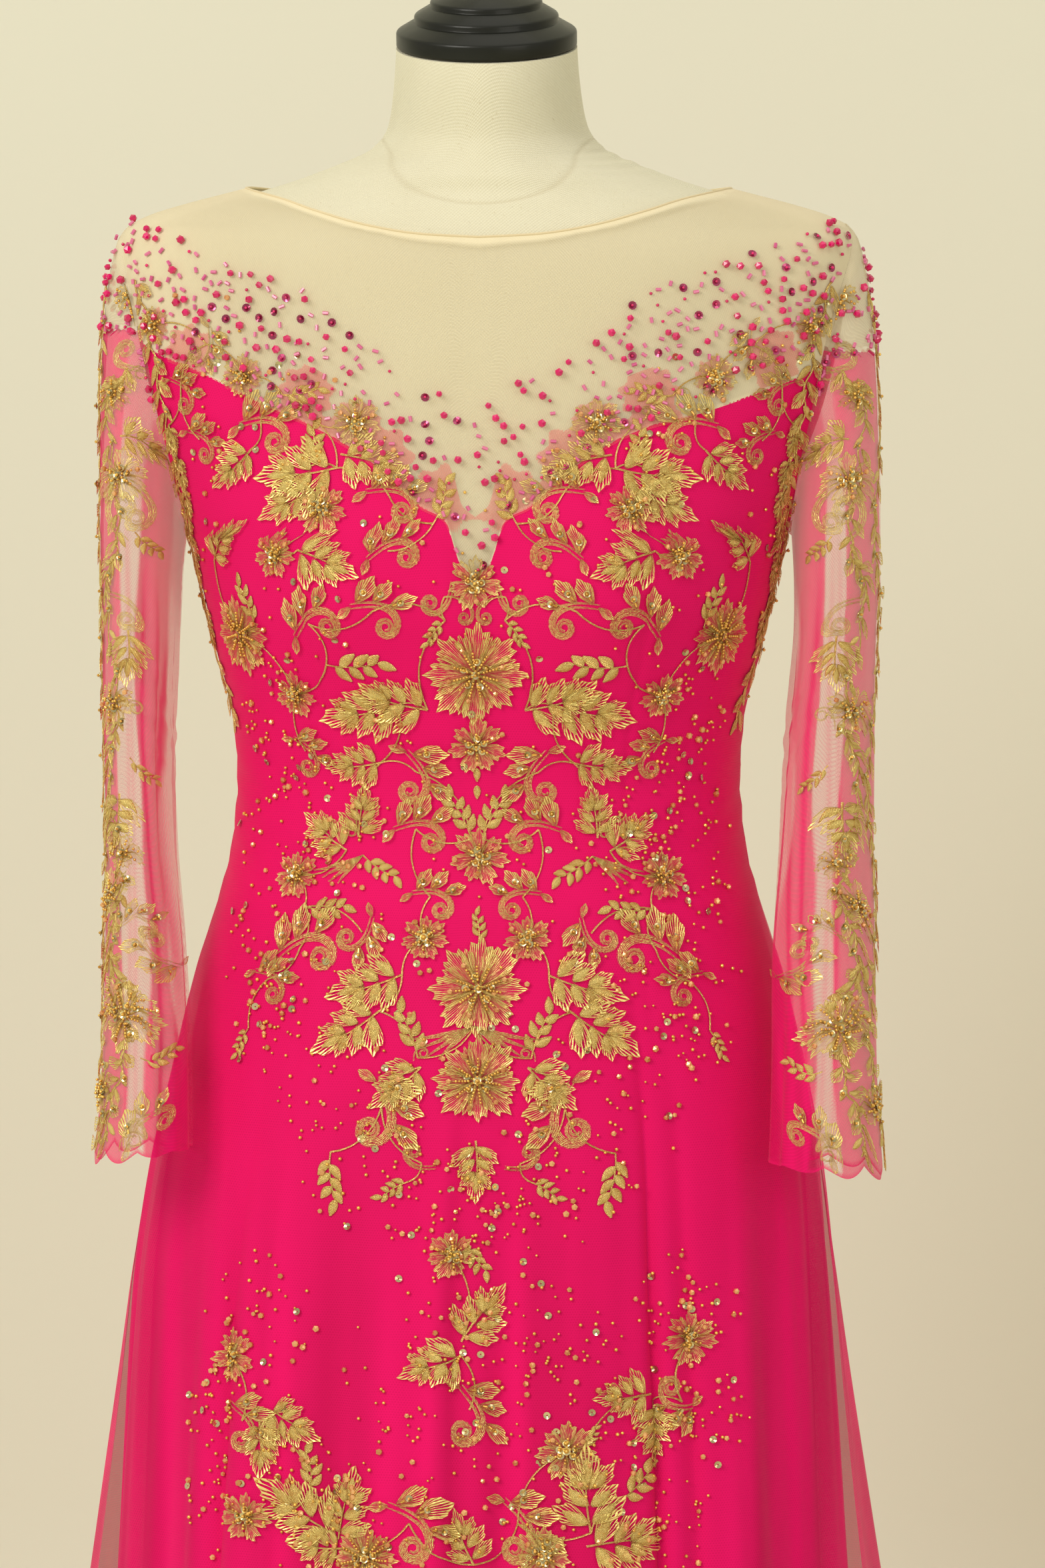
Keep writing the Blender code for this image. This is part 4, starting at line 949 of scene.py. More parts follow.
def makeBinding():
    # the thin rolled edge that runs round the whole neckline
    loop = []
    for skin, line, sign in ((plainFront, neckFront, 1), (plainBack, neckBack, -1)):
        across = sign * np.linspace(-1.0, 1.0, bindingPiece["points"] // 2 + 1)[:-1]
        heights = edgeHeights(skin, line, across, cut["neckSide"]) + bindingPiece["rise"]
        loop.extend(skin.at(across, heights, middleOfWall))
    curve = bpy.data.curves.new("neckline", "CURVE")
    curve.dimensions = "3D"
    curve.bevel_depth, curve.bevel_resolution = bindingPiece["radius"], 2
    spline = curve.splines.new("POLY")
    spline.points.add(len(loop) - 1)
    for point, place in zip(spline.points, loop):
        point.co = (*place, 1.0)
    spline.use_cyclic_u = spline.use_smooth = True
    lofted = bpy.data.objects.new("neckline_curve", curve)
    mesh = bpy.data.meshes.new_from_object(lofted)
    bpy.data.objects.remove(lofted)
    mesh.name = "neck_binding_roll"
    if not mesh.uv_layers:
        mesh.uv_layers.new(name="cloth")
    mesh.uv_layers[0].name = "cloth"
    mesh.materials.clear()
    mesh.materials.append(finish["tanBinding"])
    mesh.shade_smooth()
    dress(link("neck_binding_roll", mesh), "tan_binding", "neck_binding")


sleevePiece = {
    "columns": 145, "rows": 140, "tuck": 0.0036, "headTuck": 0.0034, "headCover": 0.5,
    "headColumns": 61, "headRows": 24, "headTop": 0.004,
    "inner": 0.42, "dense": 0.74, "strip": 0.66, "back": 0.16, "light": {-1: 0.03, 1: 0.08},
    "band": {-1: (0.41, 0.69), 1: (0.4, 0.63)}, "loose": 0.1, "bandWander": 0.045,
    "foldLines": [(0.3, 0.05, 7.0, 0.4), (0.16, 0.06, 5.0, 2.0), (0.52, 0.04, 9.0, 1.1),
                  (0.07, 0.03, 6.0, 0.0), (0.6, 0.05, 6.0, 3.0)],
    "inward": 0.26, "widest": 1.5,
}


def sleeveCover(angle, way, side):
    # a light lengthwise band where the net lies single, denser folds beside it, the
    # lace strip outside, and thin fold lines that wander down the sleeve
    share = 0.5 * (1.0 + np.cos(angle))
    wander = sleevePiece["bandWander"] * (np.sin(way * 9.0 + side) + 0.5 * np.sin(way * 23.0))
    low, high = sleevePiece["band"][side]
    cover = sleevePiece["inner"]
    for begins, value, soft in (
        (sleevePiece["loose"] - wander, sleevePiece["dense"], 0.05),
        (low + wander, sleevePiece["light"][side], 0.05),
        (high - 0.7 * wander, sleevePiece["strip"], 0.03),
    ):
        cover = cover + (value - cover) * smoothStep((share - begins) / soft + 0.5)
    cover = cover + (sleevePiece["dense"] - cover) * smoothStep((0.2 - way) / 0.12) * 0.7
    for place, swing, speed, phase in sleevePiece["foldLines"]:
        far = (share - place - swing * np.sin(speed * way + phase + side)) / 0.03
        cover = cover + 0.2 * bell(far) * smoothStep((way - 0.12) / 0.2)
    cover = np.where(np.sin(angle) >= 0.0, np.minimum(cover, 0.92), sleevePiece["back"])
    return np.maximum(cover, 0.85 * smoothStep((way - 0.992) / 0.006))


def sleeveRipple(angle, way, side):
    # soft lengthwise folds, deeper on the inner side, and creases under the arm
    inner = 0.35 + 0.65 * smoothStep((0.5 - 0.5 * np.cos(angle) - 0.2) / 0.5)
    folds = 0.001 * np.sin(7.0 * angle + 3.0 * np.sin(3.0 * way + side) + side)
    folds = folds + 0.0007 * np.sin(13.0 * angle - 4.0 * way)
    creases = np.sin(way * 120.0 + 2.0 * angle) + 0.6 * np.sin(way * 187.0 - angle)
    bend = 0.0004 * bell((way - 0.34) / 0.07) * creases
    return (folds * smoothStep((way - 0.1) / 0.15) + bend) * inner


def makeSleeves():
    for side, label in ((-1, "left"), (1, "right")):
        skin = sleeveSkins[side]
        angles = np.linspace(-math.pi, math.pi, sleevePiece["columns"])
        grid = panelGrid(skin, angles, np.interp(angles, skin.columns, skin.tops), 1.0,
                         np.linspace(0.0, 1.0, sleevePiece["rows"]), 0.0,
                         lambda angle, way: sleeveRipple(angle, way, side))
        grid[0][0, :, 0] -= side * sleevePiece["tuck"]
        grid[0][:, -1] = grid[0][:, 0]
        # the painted pleat shade runs all down the sleeve
        layCloth("sleeve_%s_tulle" % label, "pink_tulle", "sleeve_" + label, "sleeveTulle", grid, skin,
                 {"cover": sleeveCover(*grid[1:], side), "fall": 1.0},
                 True)
        ends = np.abs(skin.columns)[skin.tops > sleevePiece["headTop"]].max()
        angles = np.linspace(-ends, ends, sleevePiece["headColumns"])
        tops = np.maximum(np.interp(angles, skin.columns, skin.tops), sleevePiece["headTop"])
        shares = np.linspace(0.0, 1.0, sleevePiece["headRows"])[:, None]
        grid = panelGrid(skin, angles, 0.0, tops, shares)
        inward = sleevePiece["headTuck"] * np.clip(1.0 - shares / 0.1, 0.0, 1.0) ** 2
        grid[0][..., 0] -= side * inward
        grid[0][..., 2] += 0.3 * inward
        layCloth("sleeve_head_%s_mesh" % label, "nude_mesh", "sleeve_head_" + label, "nudeMesh", grid,
                 skin, {"cover": sleevePiece["headCover"] + 0.25 * smoothStep((0.25 - shares) / 0.25)})


def dressZip():
    # the zip stays the CAD piece: tape that is nude above and pink below, and its pull
    tape, nodes, shader = newMaterial("zipTape", 0.6, Sheen_Weight=0.1)
    height = nodes.split(nodes.place())["Z"]
    coil = nodes.wave(height, 2.0 * math.pi / 0.0018)
    above = nodes.times(nodes.minus(height, backEdge[0][1]), 900.0, clamp=True)
    tone = [nodes.blend(above, pair) for pair in zip(tones["nude"], tones["pink"])]
    nodes.into(shader, Base_Color=nodes.blend(coil, tone))
    nodes.bump(shader, coil, 0.5, 0.0003)
    pull, nodes, shader = newMaterial("zipPull", 0.3, Metallic=1.0)
    nodes.into(shader, Base_Color=nodes.blend(nodes.mottle(nodes.place(), 300.0, 1.0), tones["brass"]))
    for name, material in (("back_zip", tape), ("zip_pull", pull)):
        for slot in bpy.data.objects[name].material_slots:
            slot.material = material


makePanels()
dressZip()
makeYokes()
makeBinding()
makeSleeves()
print("cloth laid")

# Form and stand

canvasPiece = {
    "columns": 181, "foot": 0.722, "shoulders": 1.34, "rows": (80, 141), "seamDepth": 0.0004,
    "seamWidth": 0.0007, "turnedIn": 0.97,
}


def seamHeight(turn):
    # the neck's sewn joint dips in front and rises to the sides
    side = np.abs(np.sin(turn))
    front = 1.369 + 0.0385 * (np.sqrt(side * side + 0.01) - 0.1)
    back = 1.404 - 0.006 * (1.0 - side)
    return np.where(np.cos(turn) > 0.0, front, back)


def makeForm():
    low, high = canvasPiece["rows"]
    heights = np.concatenate([np.linspace(canvasPiece["foot"], canvasPiece["shoulders"], low),
                              np.linspace(canvasPiece["shoulders"], cut["neckTop"], high)[1:]])
    level = heights[:, None]
    turns = np.linspace(-math.pi, math.pi, 721) + 0.0 * level
    raw = ringPoints(readTable(formRows, heights), heights, turns)
    rings = spaced(np.concatenate([raw, turns[..., None]], axis=-1),
                   np.linspace(0.0, 1.0, canvasPiece["columns"]))
    points, angle = rings[..., :3], rings[..., 3]
    normals = turnedTo(gridNormals(points), awayFromAxis(points))
    x, z = points[..., 0], points[..., 2]
    covered = 1.0 - smoothStep((level - cut["neckSide"]) / 0.012)
    shoulder = 1.0 + 1.4 * smoothStep((np.abs(x) - 0.14) / 0.04)
    # the joint is sunk a little, and its mark also carries painted shade into the canvas
    seam = bell((z - seamHeight(angle)) / canvasPiece["seamWidth"])
    inset = cut["formInset"] * covered * shoulder + canvasPiece["seamDepth"] * seam
    wrinkle = 0.0005 * bell((x - 0.075) / 0.02) * bell((level - 1.392) / 0.01)
    points = points - normals * (inset + wrinkle * np.sin(level * 1400.0))[..., None]
    points[0, :, :2] *= canvasPiece["turnedIn"]
    points[:, -1] = points[:, 0]
    form = layGrid("form_canvas", points, normals, "canvas", {"seam": seam}, closed=True, capped=True)
    form.data.set_sharp_from_angle(angle=math.radians(60))
    dress(form, "canvas", "form_torso")


def spinSolid(name, profile, material, at, tilt):
    # a half outline turned about the upright axis, its corners softened
    work = bmesh.new()
    ends = [work.verts.new((radius, 0.0, height)) for radius, height in profile]
    for pair in zip(ends, ends[1:]):
        work.edges.new(pair)
    inner = [v for v in ends if v.co.x > 1e-6][1:-1]
    bmesh.ops.bevel(work, geom=inner, offset=0.0006, segments=2, profile=0.5, affect="VERTICES",
                    material=-1)
    bmesh.ops.spin(work, geom=work.verts[:] + work.edges[:], cent=(0, 0, 0), axis=(0, 0, 1),
                   angle=2.0 * math.pi, steps=96, use_merge=True)
    bmesh.ops.remove_doubles(work, verts=work.verts, dist=1e-6)
    bmesh.ops.recalc_face_normals(work, faces=work.faces)
    bmesh.ops.transform(work, verts=work.verts,
                        matrix=Matrix.Translation(at) @ Matrix.Rotation(tilt, 4, "X"))
    mesh = newMesh(name, work)
    mesh.shade_smooth()
    mesh.set_sharp_from_angle(angle=math.radians(40))
    mesh.materials.append(finish[material])
    return link(name, mesh)


# half outlines: radius and height
standPiece = {
    "cap": [
        (0.0, 0.0), (0.049, 0.0), (0.0505, 0.0012), (0.0505, 0.0086), (0.0497, 0.0097),
        (0.0414, 0.0147), (0.0404, 0.0148), (0.0404, 0.0178), (0.0396, 0.0189), (0.0324, 0.0233),
        (0.0314, 0.0234), (0.0314, 0.0258), (0.0306, 0.0268), (0.021, 0.031), (0.015, 0.0319),
        (0.0, 0.0322),
    ],
    "base": [
        (0.0, 0.0), (0.155, 0.0), (0.155, 0.011), (0.153, 0.0145), (0.147, 0.0165),
        (0.034, 0.018), (0.029, 0.022), (0.026, 0.03), (0.0, 0.03),
    ],
    "collar": [
        (0.0, -0.036), (0.03, -0.036), (0.03, -0.004), (0.052, -0.001), (0.052, 0.0), (0.0, 0.0),
    ],
    "pole": [(0.0, 0.0303), (0.016, 0.0303), (0.016, 0.6854), (0.0, 0.6854)],
}


def makeStand():
    tilt = math.atan(cut["neckTilt"])
    top = (0.0, cut["neckLean"], cut["neckTop"] + cut["seam"] / math.cos(tilt))
    under = (0, 0, canvasPiece["foot"] - cut["seam"])
    for name, outline, material, slot, replaced, at, lean in (
        ("neck_cap_turned", "cap", "lacquer", "black_lacquer", "neck_cap", top, tilt),
        ("base_turned", "base", "lacquer", "black_lacquer", "base", (0, 0, 0), 0.0),
        ("collar_turned", "collar", "lacquer", "black_lacquer", "form_collar", under, 0.0),
        ("pole_tube", "pole", "steel", "steel", "pole", (0, 0, 0), 0.0),
    ):
        dress(spinSolid(name, standPiece[outline], material, at, lean), slot, replaced)


makeForm()
makeStand()
print("form and stand made")

# Embroidery

stitch = {
    "bed": 0.003, "sleeveBed": 0.0006, "pitch": 0.00075, "ovalRise": 0.0011, "rimRise": 0.001,
    "netRise": 0.0004, "bandRise": 0.0007, "large": 0.018,
    "patchGrids": {"oval": (5, 9), "lobe": (11, 7), "band": (5, 34), "stem": (3, 10)},
}


class Spot:
    # a place on a skin with a heading; motifs are drawn from it in metres, as x + iy

    def __init__(self, skin, column, row, heading=0.0, mirrored=False):
        self.skin, self.column, self.row = skin, column, row
        self.turn = np.exp(1j * math.radians(heading))
        self.side = -1.0 if mirrored else 1.0
        normal = skin.outward(column, row)
        up = np.array([0.0, 0.0, 1.0]) - normal * normal[2]
        up = up / np.linalg.norm(up)
        sideways = skin.read(skin.alongColumns, column, row)
        lengthways = skin.read(skin.alongRows, column, row)
        right = sideways - up * np.dot(sideways, up)
        right = right / np.linalg.norm(right)
        self.frame = np.array([[np.dot(sideways, axis), np.dot(lengthways, axis)]
                               for axis in (right, up)])
        self.inverse = np.linalg.inv(self.frame)

    def widen(self, amount):
        # motifs near the edge of a sleeve are cut wider, so they read from the front
        self.inverse = self.inverse @ np.diag([amount, 1.0])

    def reach(self, drawn):
        drawn = np.asarray(drawn) * self.turn
        columns, rows = (a * drawn.real + b * drawn.imag for a, b in self.inverse)
        return self.side * (self.column + columns), self.row + rows

    def stepTo(self, other):
        x, y = self.frame @ np.array([other.column - self.column, other.row - self.row])
        return complex(x, y)


def pictureSpot(skin, x, y, heading=0.0, mirrored=False):
    # the place on a skin that shows at this point of the picture
    if not hasattr(skin, "seen"):
        skin.seen = viewpoint.project(skin.points)
        skin.away = ~viewpoint.facing(skin.points, skin.normals) * 1e6
    far = ((skin.seen - np.array([x, y])) ** 2).sum(-1) + skin.away
    row, column = np.unravel_index(far.argmin(), far.shape)
    return Spot(skin, skin.columns[column], skin.rows[row], heading, mirrored)


def unit(vector):
    return vector / max(np.linalg.norm(vector), 1e-12)


class Needlework:
    # patches of thread and beads, joined into one mesh for each kind at the end

    def __init__(self, seed):
        self.dice = random.Random(seed)
        self.patches = {kind: [] for kind in stitch["patchGrids"]}
        self.beads = []

    def places(self, kind, start=0.0):
        across, count = stitch["patchGrids"][kind]
        return np.linspace(-1.0, 1.0, across)[:, None], np.linspace(start, 1.0, count)[None, :]

    def patch(self, kind, spot, drawn, rise, threads, along, opened, shade=0.0):
        skin = spot.skin
        column, row = spot.reach(drawn)
        if abs(np.mean(column)) > skin.columns[-1] * 0.995:
            return
        column = np.clip(column, skin.columns[0], skin.columns[-1])
        points = skin.at(column, row, skin.bed + rise)
        i, j = (n // 2 for n in drawn.shape)
        facing = np.cross(points[i, j + 1] - points[i, j], points[i + 1, j] - points[i, j])
        # the painted light and shade of the patch, with a random tone of its own
        tone = shade + self.dice.uniform(-0.16, 0.16)
        fields = [points] + [np.broadcast_to(f, drawn.shape) for f in (threads, along, opened, tone)]
        if np.dot(facing, skin.outward(column[i, j], row[i, j])) < 0.0:
            fields = [f[::-1] for f in fields]
        self.patches[kind].append(fields)

    def oval(self, spot, base, tip, width, bend=0.0):
        s, t = self.places("oval")
        axis = tip - base
        half = 0.5 * width * np.maximum(np.sin(math.pi * t ** 0.8), 0.1) ** 0.7
        side = 1j * axis / abs(axis)
        drawn = base + axis * t + side * (half * s + bend * np.sin(math.pi * t))
        rise = stitch["ovalRise"] * (1.0 - 0.85 * s * s) * np.sin(math.pi * (0.1 + 0.8 * t)) ** 0.5
        threads = (abs(axis) * t + 0.55 * half * s) / stitch["pitch"] + self.dice.random()
        # the crown of each satin oval is painted lighter and its sides darker: painted highlight and shade
        self.patch("oval", spot, drawn, rise, threads, s, 0.0, 0.26 - 0.3 * s * s)

    def lobe(self, spot, base, tip, spread, point=0.5, ruffle=0.0, threads=10, opened=0.5):
        s, t = self.places("lobe", 0.05)
        wave = ruffle * np.cos(3.0 * math.pi * s + self.dice.uniform(-1.0, 1.0))
        length = 1.0 - point * np.abs(s) ** 1.2 + wave
        turned = np.exp(1j * s * spread * (1.0 - 0.25 * t))
        drawn = base + (tip - base) * t * length * turned
        rim = np.maximum(smoothStep((np.abs(s) - 0.72) / 0.2), smoothStep((t - 0.86) / 0.1))
        rise = stitch["netRise"] + (stitch["rimRise"] - stitch["netRise"]) * rim
        rise = rise + 0.0009 * t * t * self.dice.uniform(0.1, 1.0)
        fan = s * 0.5 * threads + self.dice.random()
        # each lobe is painted darker at its base and lighter towards its tip: painted shade
        self.patch("lobe", spot, drawn, rise, fan, t, opened * (1.0 - rim), 0.35 * t - 0.24)

    def band(self, spot, path, widths, threads=3.0, opened=0.25, kind="band"):
        s, t = self.places(kind)
        path = np.interp(t[0] * (len(path) - 1.0), np.arange(len(path)), path)
        tangent = np.gradient(path)
        side = 1j * tangent / np.maximum(np.abs(tangent), 1e-9)
        half = 0.5 * np.interp(t[0], np.linspace(0, 1, len(widths)), widths)
        rise = stitch["bandRise"] * (1.0 - 0.7 * s * s) + 0.0001
        along = np.cumsum(np.abs(tangent)) / 0.003
        self.patch(kind, spot, path + side * half * s, rise, s * 0.5 * threads, along, opened)

    def stem(self, spot, start, end, bow, widths):
        t = np.linspace(0.0, 1.0, 10)
        self.band(spot, start + (end - start) * t + 4.0 * bow * t * (1.0 - t), widths, 2.0, 0.0, "stem")

    def bead(self, kind, spot, drawn, size, heading=0.0, lift=0.0, long=1.0):
        column, row = spot.reach(np.array([drawn, drawn + 1e-4 * np.exp(1j * heading)]))
        if abs(column[0]) > spot.skin.columns[-1] * 0.985:
            return
        where, ahead = spot.skin.at(column, row)
        normal = spot.skin.outward(column[0], row[0])
        origin = where + normal * (spot.skin.bed + lift)
        forward = unit(ahead - where)
        if kind.endswith("Sequin"):
            normal = normal + forward * self.dice.gauss(0.0, 0.22)
            normal = unit(normal + np.cross(normal, forward) * self.dice.gauss(0.0, 0.22))
            forward = unit(forward - normal * np.dot(normal, forward))
        axes = np.stack([forward * long, unit(np.cross(normal, forward)), normal]) * size
        self.beads.append((kind, origin, axes))

    def sequin(self, spot, drawn, size, seed, lift):
        # a cupped sequin held by a seed bead
        self.bead("goldSequin", spot, drawn, size, 0.0, lift)
        self.bead("goldSeed", spot, drawn, seed, 0.0, lift + 0.001)

    def ray(self, k, count, loose=0.0):
        # the heading of one of a ring of petals or beads
        stray = self.dice.uniform(-loose, loose) if loose else 0.0
        return np.exp(1j * (2.0 * math.pi * k / count + stray))


def spiralPath(start, heading, length, turn, power, count=34):
    t = np.linspace(0.0, 1.0, count)
    return start + np.cumsum(np.exp(1j * (heading - turn * t ** power)) * length / count)


def drawLeaf(work, spot, size):
    work.stem(spot, 0.0, 0.9 * size, 0.03j * size, [0.0012, 0.0009, 0.0005])
    for k in range(3):
        base = size * (0.1 + 0.22 * k)
        for sign in (-1, 1):
            lean = np.exp(1j * sign * (1.0 - 0.14 * k + work.dice.uniform(-0.1, 0.1)))
            long = size * (0.5 - 0.06 * k) * work.dice.uniform(0.9, 1.08)
            work.lobe(spot, base, base + 1.06 * long * lean, 0.66, 0.44, 0.06, 10, 0.8)
            near, far = base + 0.08 * long * lean, base + 0.8 * long * lean
            work.oval(spot, near, far, 0.15 * size, 0.0005 * sign)
    work.lobe(spot, 0.52 * size, size * 1.1, 0.64, 0.48, 0.06, 10, 0.8)
    work.oval(spot, 0.62 * size, 0.94 * size, 0.13 * size)


def drawSprig(work, spot, size):
    stem = np.linspace(0.0, 0.78 * size, 12) * np.exp(0.12j * np.linspace(-1, 1, 12))
    work.band(spot, stem, [0.0009, 0.0007, 0.0005], 2.0, 0.0, "stem")
    for k in range(3):
        for sign in (-1, 1):
            base = stem[2 + 3 * k + (sign > 0)]
            lean = np.exp(1j * sign * work.dice.uniform(0.62, 0.85))
            long = size * (0.3 - 0.02 * k) * work.dice.uniform(0.85, 1.1)
            work.oval(spot, base, base + long * lean, 0.15 * size, 0.0005 * sign)
    work.oval(spot, stem[-1], size * 1.04, 0.15 * size)


def drawOval(work, spot, size):
    work.oval(spot, 0.0, size, 0.5 * size)


def drawScroll(work, spot, size, lobes=0):
    # a band of threads that ends in a curl, with or without pointed lobes on its back
    path = spiralPath(0.0, 1.9, 2.35 * size, 9.6, 2.4, 60)
    path = path - 0.5 * (path[0] + path[24])
    path = path * np.exp(-1j * np.angle(path[-1]))
    width = 0.085 * size
    tangent = np.gradient(path) / np.abs(np.gradient(path))
    for offset in (-0.5, 0.5):
        work.band(spot, path + 1j * tangent * offset * width * np.linspace(1.0, 0.7, 60),
                  [0.0006, 0.9 * width, 0.85 * width, 0.5 * width], 3.0, 0.45)
    for k in range(lobes):
        i = 3 + 8 * k
        lean = tangent[i] * np.exp(0.85j)
        base = path[i] + 1j * tangent[i] * 0.4 * width
        long = size * (0.62 - 0.05 * k) * work.dice.uniform(0.9, 1.1)
        work.lobe(spot, base, base + long * lean, 0.7, 0.45, 0.05, 12)
        work.sequin(spot, base + 0.42 * long * lean, 0.004, 0.0017, 0.0012)
        work.bead("goldBugle", spot, base + 0.22 * long * lean, 0.0011, np.angle(lean), 0.0014, 2.2)
    if lobes:
        tip = path[1] - 0.36 * size * tangent[0] * np.exp(0.5j)
        work.lobe(spot, path[1], tip, 0.6, 0.45, 0.03, 10)


def drawSpray(work, spot, size):
    drawScroll(work, spot, 0.8 * size, 3)


def drawCurl(work, spot, size):
    work.band(spot, spiralPath(-size, 1.6, 4.4 * size, 8.5, 1.8), [0.0007, 0.0013, 0.001], 3.0, 0.35)


def drawPlume(work, spot, size):
    t = np.linspace(0.0, 1.0, 16)
    for k in range(4):
        path = size * (1.0 - 0.1 * k) * t * np.exp(1j * (0.1 * k - 0.15) * (1.0 + 0.9 * t))
        work.band(spot, path, [0.0006, 0.0022, 0.0026, 0.0016, 0.0008], 4.0, 0.4)


def drawBlossom(work, spot, size):
    # ragged petals in one ring or two, satin rays, sequins, and beads at the heart
    isLarge = size > stitch["large"]
    petals, rays, steps = (8, 11, 5) if isLarge else (7, 6, 2)
    for k in range(petals):
        lean = work.ray(k, petals, 0.08)
        long = size * work.dice.uniform(0.9, 1.08)
        work.lobe(spot, 0.1 * size * lean, long * lean, 4.4 / petals, 0.25, 0.09, 15, 0.78)
        if isLarge:
            between = lean * np.exp(1j * math.pi / petals)
            work.lobe(spot, 0.3 * size * between, 0.82 * long * between, 0.55, 0.28, 0.09, 11, 0.76)
    for k in range(petals):
        lean = work.ray(k + 0.5, petals)
        work.oval(spot, 0.04 * size * lean, 0.55 * size * lean, 0.11 * size)
    for k in range(5):
        lean = work.ray(k, 5, 0.3)
        if size > 0.011:
            work.sequin(spot, 0.27 * size * lean, 0.0042, 0.0018, 0.0016)
    for k in range(rays):
        lean = work.ray(k, rays, 0.15)
        for step in range(steps):
            out = 0.005 + 0.0018 * step
            work.bead("goldSeed", spot, out * lean, 0.0017, 0.0, 0.0022)
        if k % 2 and size > 0.012:
            work.bead("copperCrystal", spot, (out + 0.0032) * lean, 0.0033, 0.0, 0.0018)
    for k in range(6):
        work.bead("goldSeed", spot, 0.0021 * work.ray(k, 6), 0.0019, 0.0, 0.002)
    work.sequin(spot, 0.0, 0.0046, 0.0021, 0.0028)


def drawVine(work, skin, columns, rows, size):
    # a wavy stem with leaves on both sides, along a line of places on a skin
    spots = [Spot(skin, column, row) for column, row in zip(columns, rows)]
    for i, (here, there) in enumerate(zip(spots, spots[1:])):
        step = here.stepTo(there)
        work.stem(here, 0.0, step, 0.16j * step * (1 if i % 2 else -1), [0.0012, 0.0016, 0.0012])
        lean = step / abs(step)
        for sign in (-1, 1):
            leaf = size * lean * np.exp(1j * sign * work.dice.uniform(0.55, 0.85))
            base = step * (0.2 if sign > 0 else 0.55)
            if (i + (sign > 0)) % 3:
                work.lobe(here, base, base + leaf, 0.62, 0.45, 0.03, 10)
                work.oval(here, base, base + 0.7 * leaf, 0.22 * size)
            else:
                work.oval(here, base, base + 0.8 * leaf, 0.3 * size)
        if i % 2:
            work.sequin(here, 0.5 * step + 1j * lean * 0.35 * size, 0.004, 0.0018, 0.0014)


motifMakers = {
    "leaf": drawLeaf, "sprig": drawSprig, "oval": drawOval, "scroll": drawScroll,
    "spray": drawSpray, "curl": drawCurl, "plume": drawPlume, "blossom": drawBlossom,
}

# kind, x and y in the picture, heading in degrees, size in millimetres
centreMotifs = [
    ("blossom", 711, 872, 90, 15), ("blossom", 713, 1012, 90, 27), ("blossom", 716, 1115, 90, 16),
    ("oval", 718, 1149, -90, 8), ("oval", 718, 1176, -90, 8), ("blossom", 719, 1287, 90, 16),
    ("blossom", 718, 1482, 90, 27), ("blossom", 716, 1624, 90, 24), ("leaf", 716, 1708, -90, 31),
    ("sprig", 718, 1418, 90, 20),
]
sideMotifs = [
    ("scroll", 669, 894, -167, 22), ("scroll", 696, 906, -104, 16), ("sprig", 669, 926, -133, 20),
    ("spray", 561, 918, -60, 35), ("spray", 468, 933, -17, 37), ("sprig", 492, 997, -4, 38),
    ("leaf", 644, 1061, 165, 38), ("leaf", 595, 1056, -168, 42), ("blossom", 448, 1041, 90, 13),
    ("blossom", 369, 948, 90, 22), ("sprig", 389, 933, 106, 30), ("spray", 463, 1125, -95, 29),
    ("leaf", 576, 1144, -173, 30), ("spray", 625, 1154, -117, 37), ("sprig", 708, 1257, 112, 32),
    ("leaf", 541, 1257, 82, 28), ("leaf", 522, 1277, 143, 30), ("curl", 534, 1264, 0, 6),
    ("spray", 625, 1242, -48, 35), ("plume", 546, 1282, -145, 30), ("sprig", 546, 1282, -39, 28),
    ("blossom", 448, 1311, 90, 14), ("sprig", 463, 1359, -3, 30), ("spray", 546, 1398, -170, 30),
    ("spray", 453, 1423, -27, 44), ("spray", 409, 1472, -72, 30), ("sprig", 379, 1541, -120, 20),
    ("spray", 649, 1349, -60, 30), ("blossom", 639, 1411, 90, 13), ("leaf", 605, 1462, -162, 40),
    ("leaf", 571, 1516, -146, 40), ("sprig", 630, 1590, 106, 34), ("plume", 713, 1541, -152, 38),
    ("leaf", 635, 1600, -139, 32), ("curl", 639, 1595, 0, 6), ("spray", 576, 1659, -126, 44),
    ("sprig", 497, 1727, -90, 34), ("scroll", 635, 1747, 117, 20), ("sprig", 615, 1772, -156, 22),
    ("blossom", 238, 486, 90, 11), ("spray", 315, 517, -150, 28), ("blossom", 368, 566, 90, 12),
    ("sprig", 426, 593, 3, 26), ("curl", 414, 597, 0, 5), ("curl", 464, 624, 0, 5),
    ("spray", 276, 582, -84, 28), ("spray", 307, 658, -80, 28), ("spray", 395, 639, -53, 38),
    ("leaf", 380, 673, -139, 30), ("leaf", 506, 700, -173, 44), ("sprig", 464, 700, 75, 28),
    ("leaf", 479, 731, -151, 34), ("blossom", 537, 635, 90, 14), ("leaf", 514, 685, -15, 36),
    ("spray", 582, 746, -59, 36), ("blossom", 487, 765, 90, 15), ("sprig", 648, 784, 63, 30),
    ("spray", 582, 827, -27, 34), ("leaf", 330, 838, 47, 30), ("blossom", 418, 830, 90, 14),
    ("leaf", 452, 823, -21, 36), ("leaf", 261, 639, -81, 18), ("leaf", 272, 685, -79, 20),
    ("leaf", 282, 731, -84, 20), ("leaf", 290, 777, -81, 20), ("leaf", 297, 823, -78, 22),
    ("leaf", 303, 865, -72, 22), ("leaf", 318, 907, -76, 24),
]
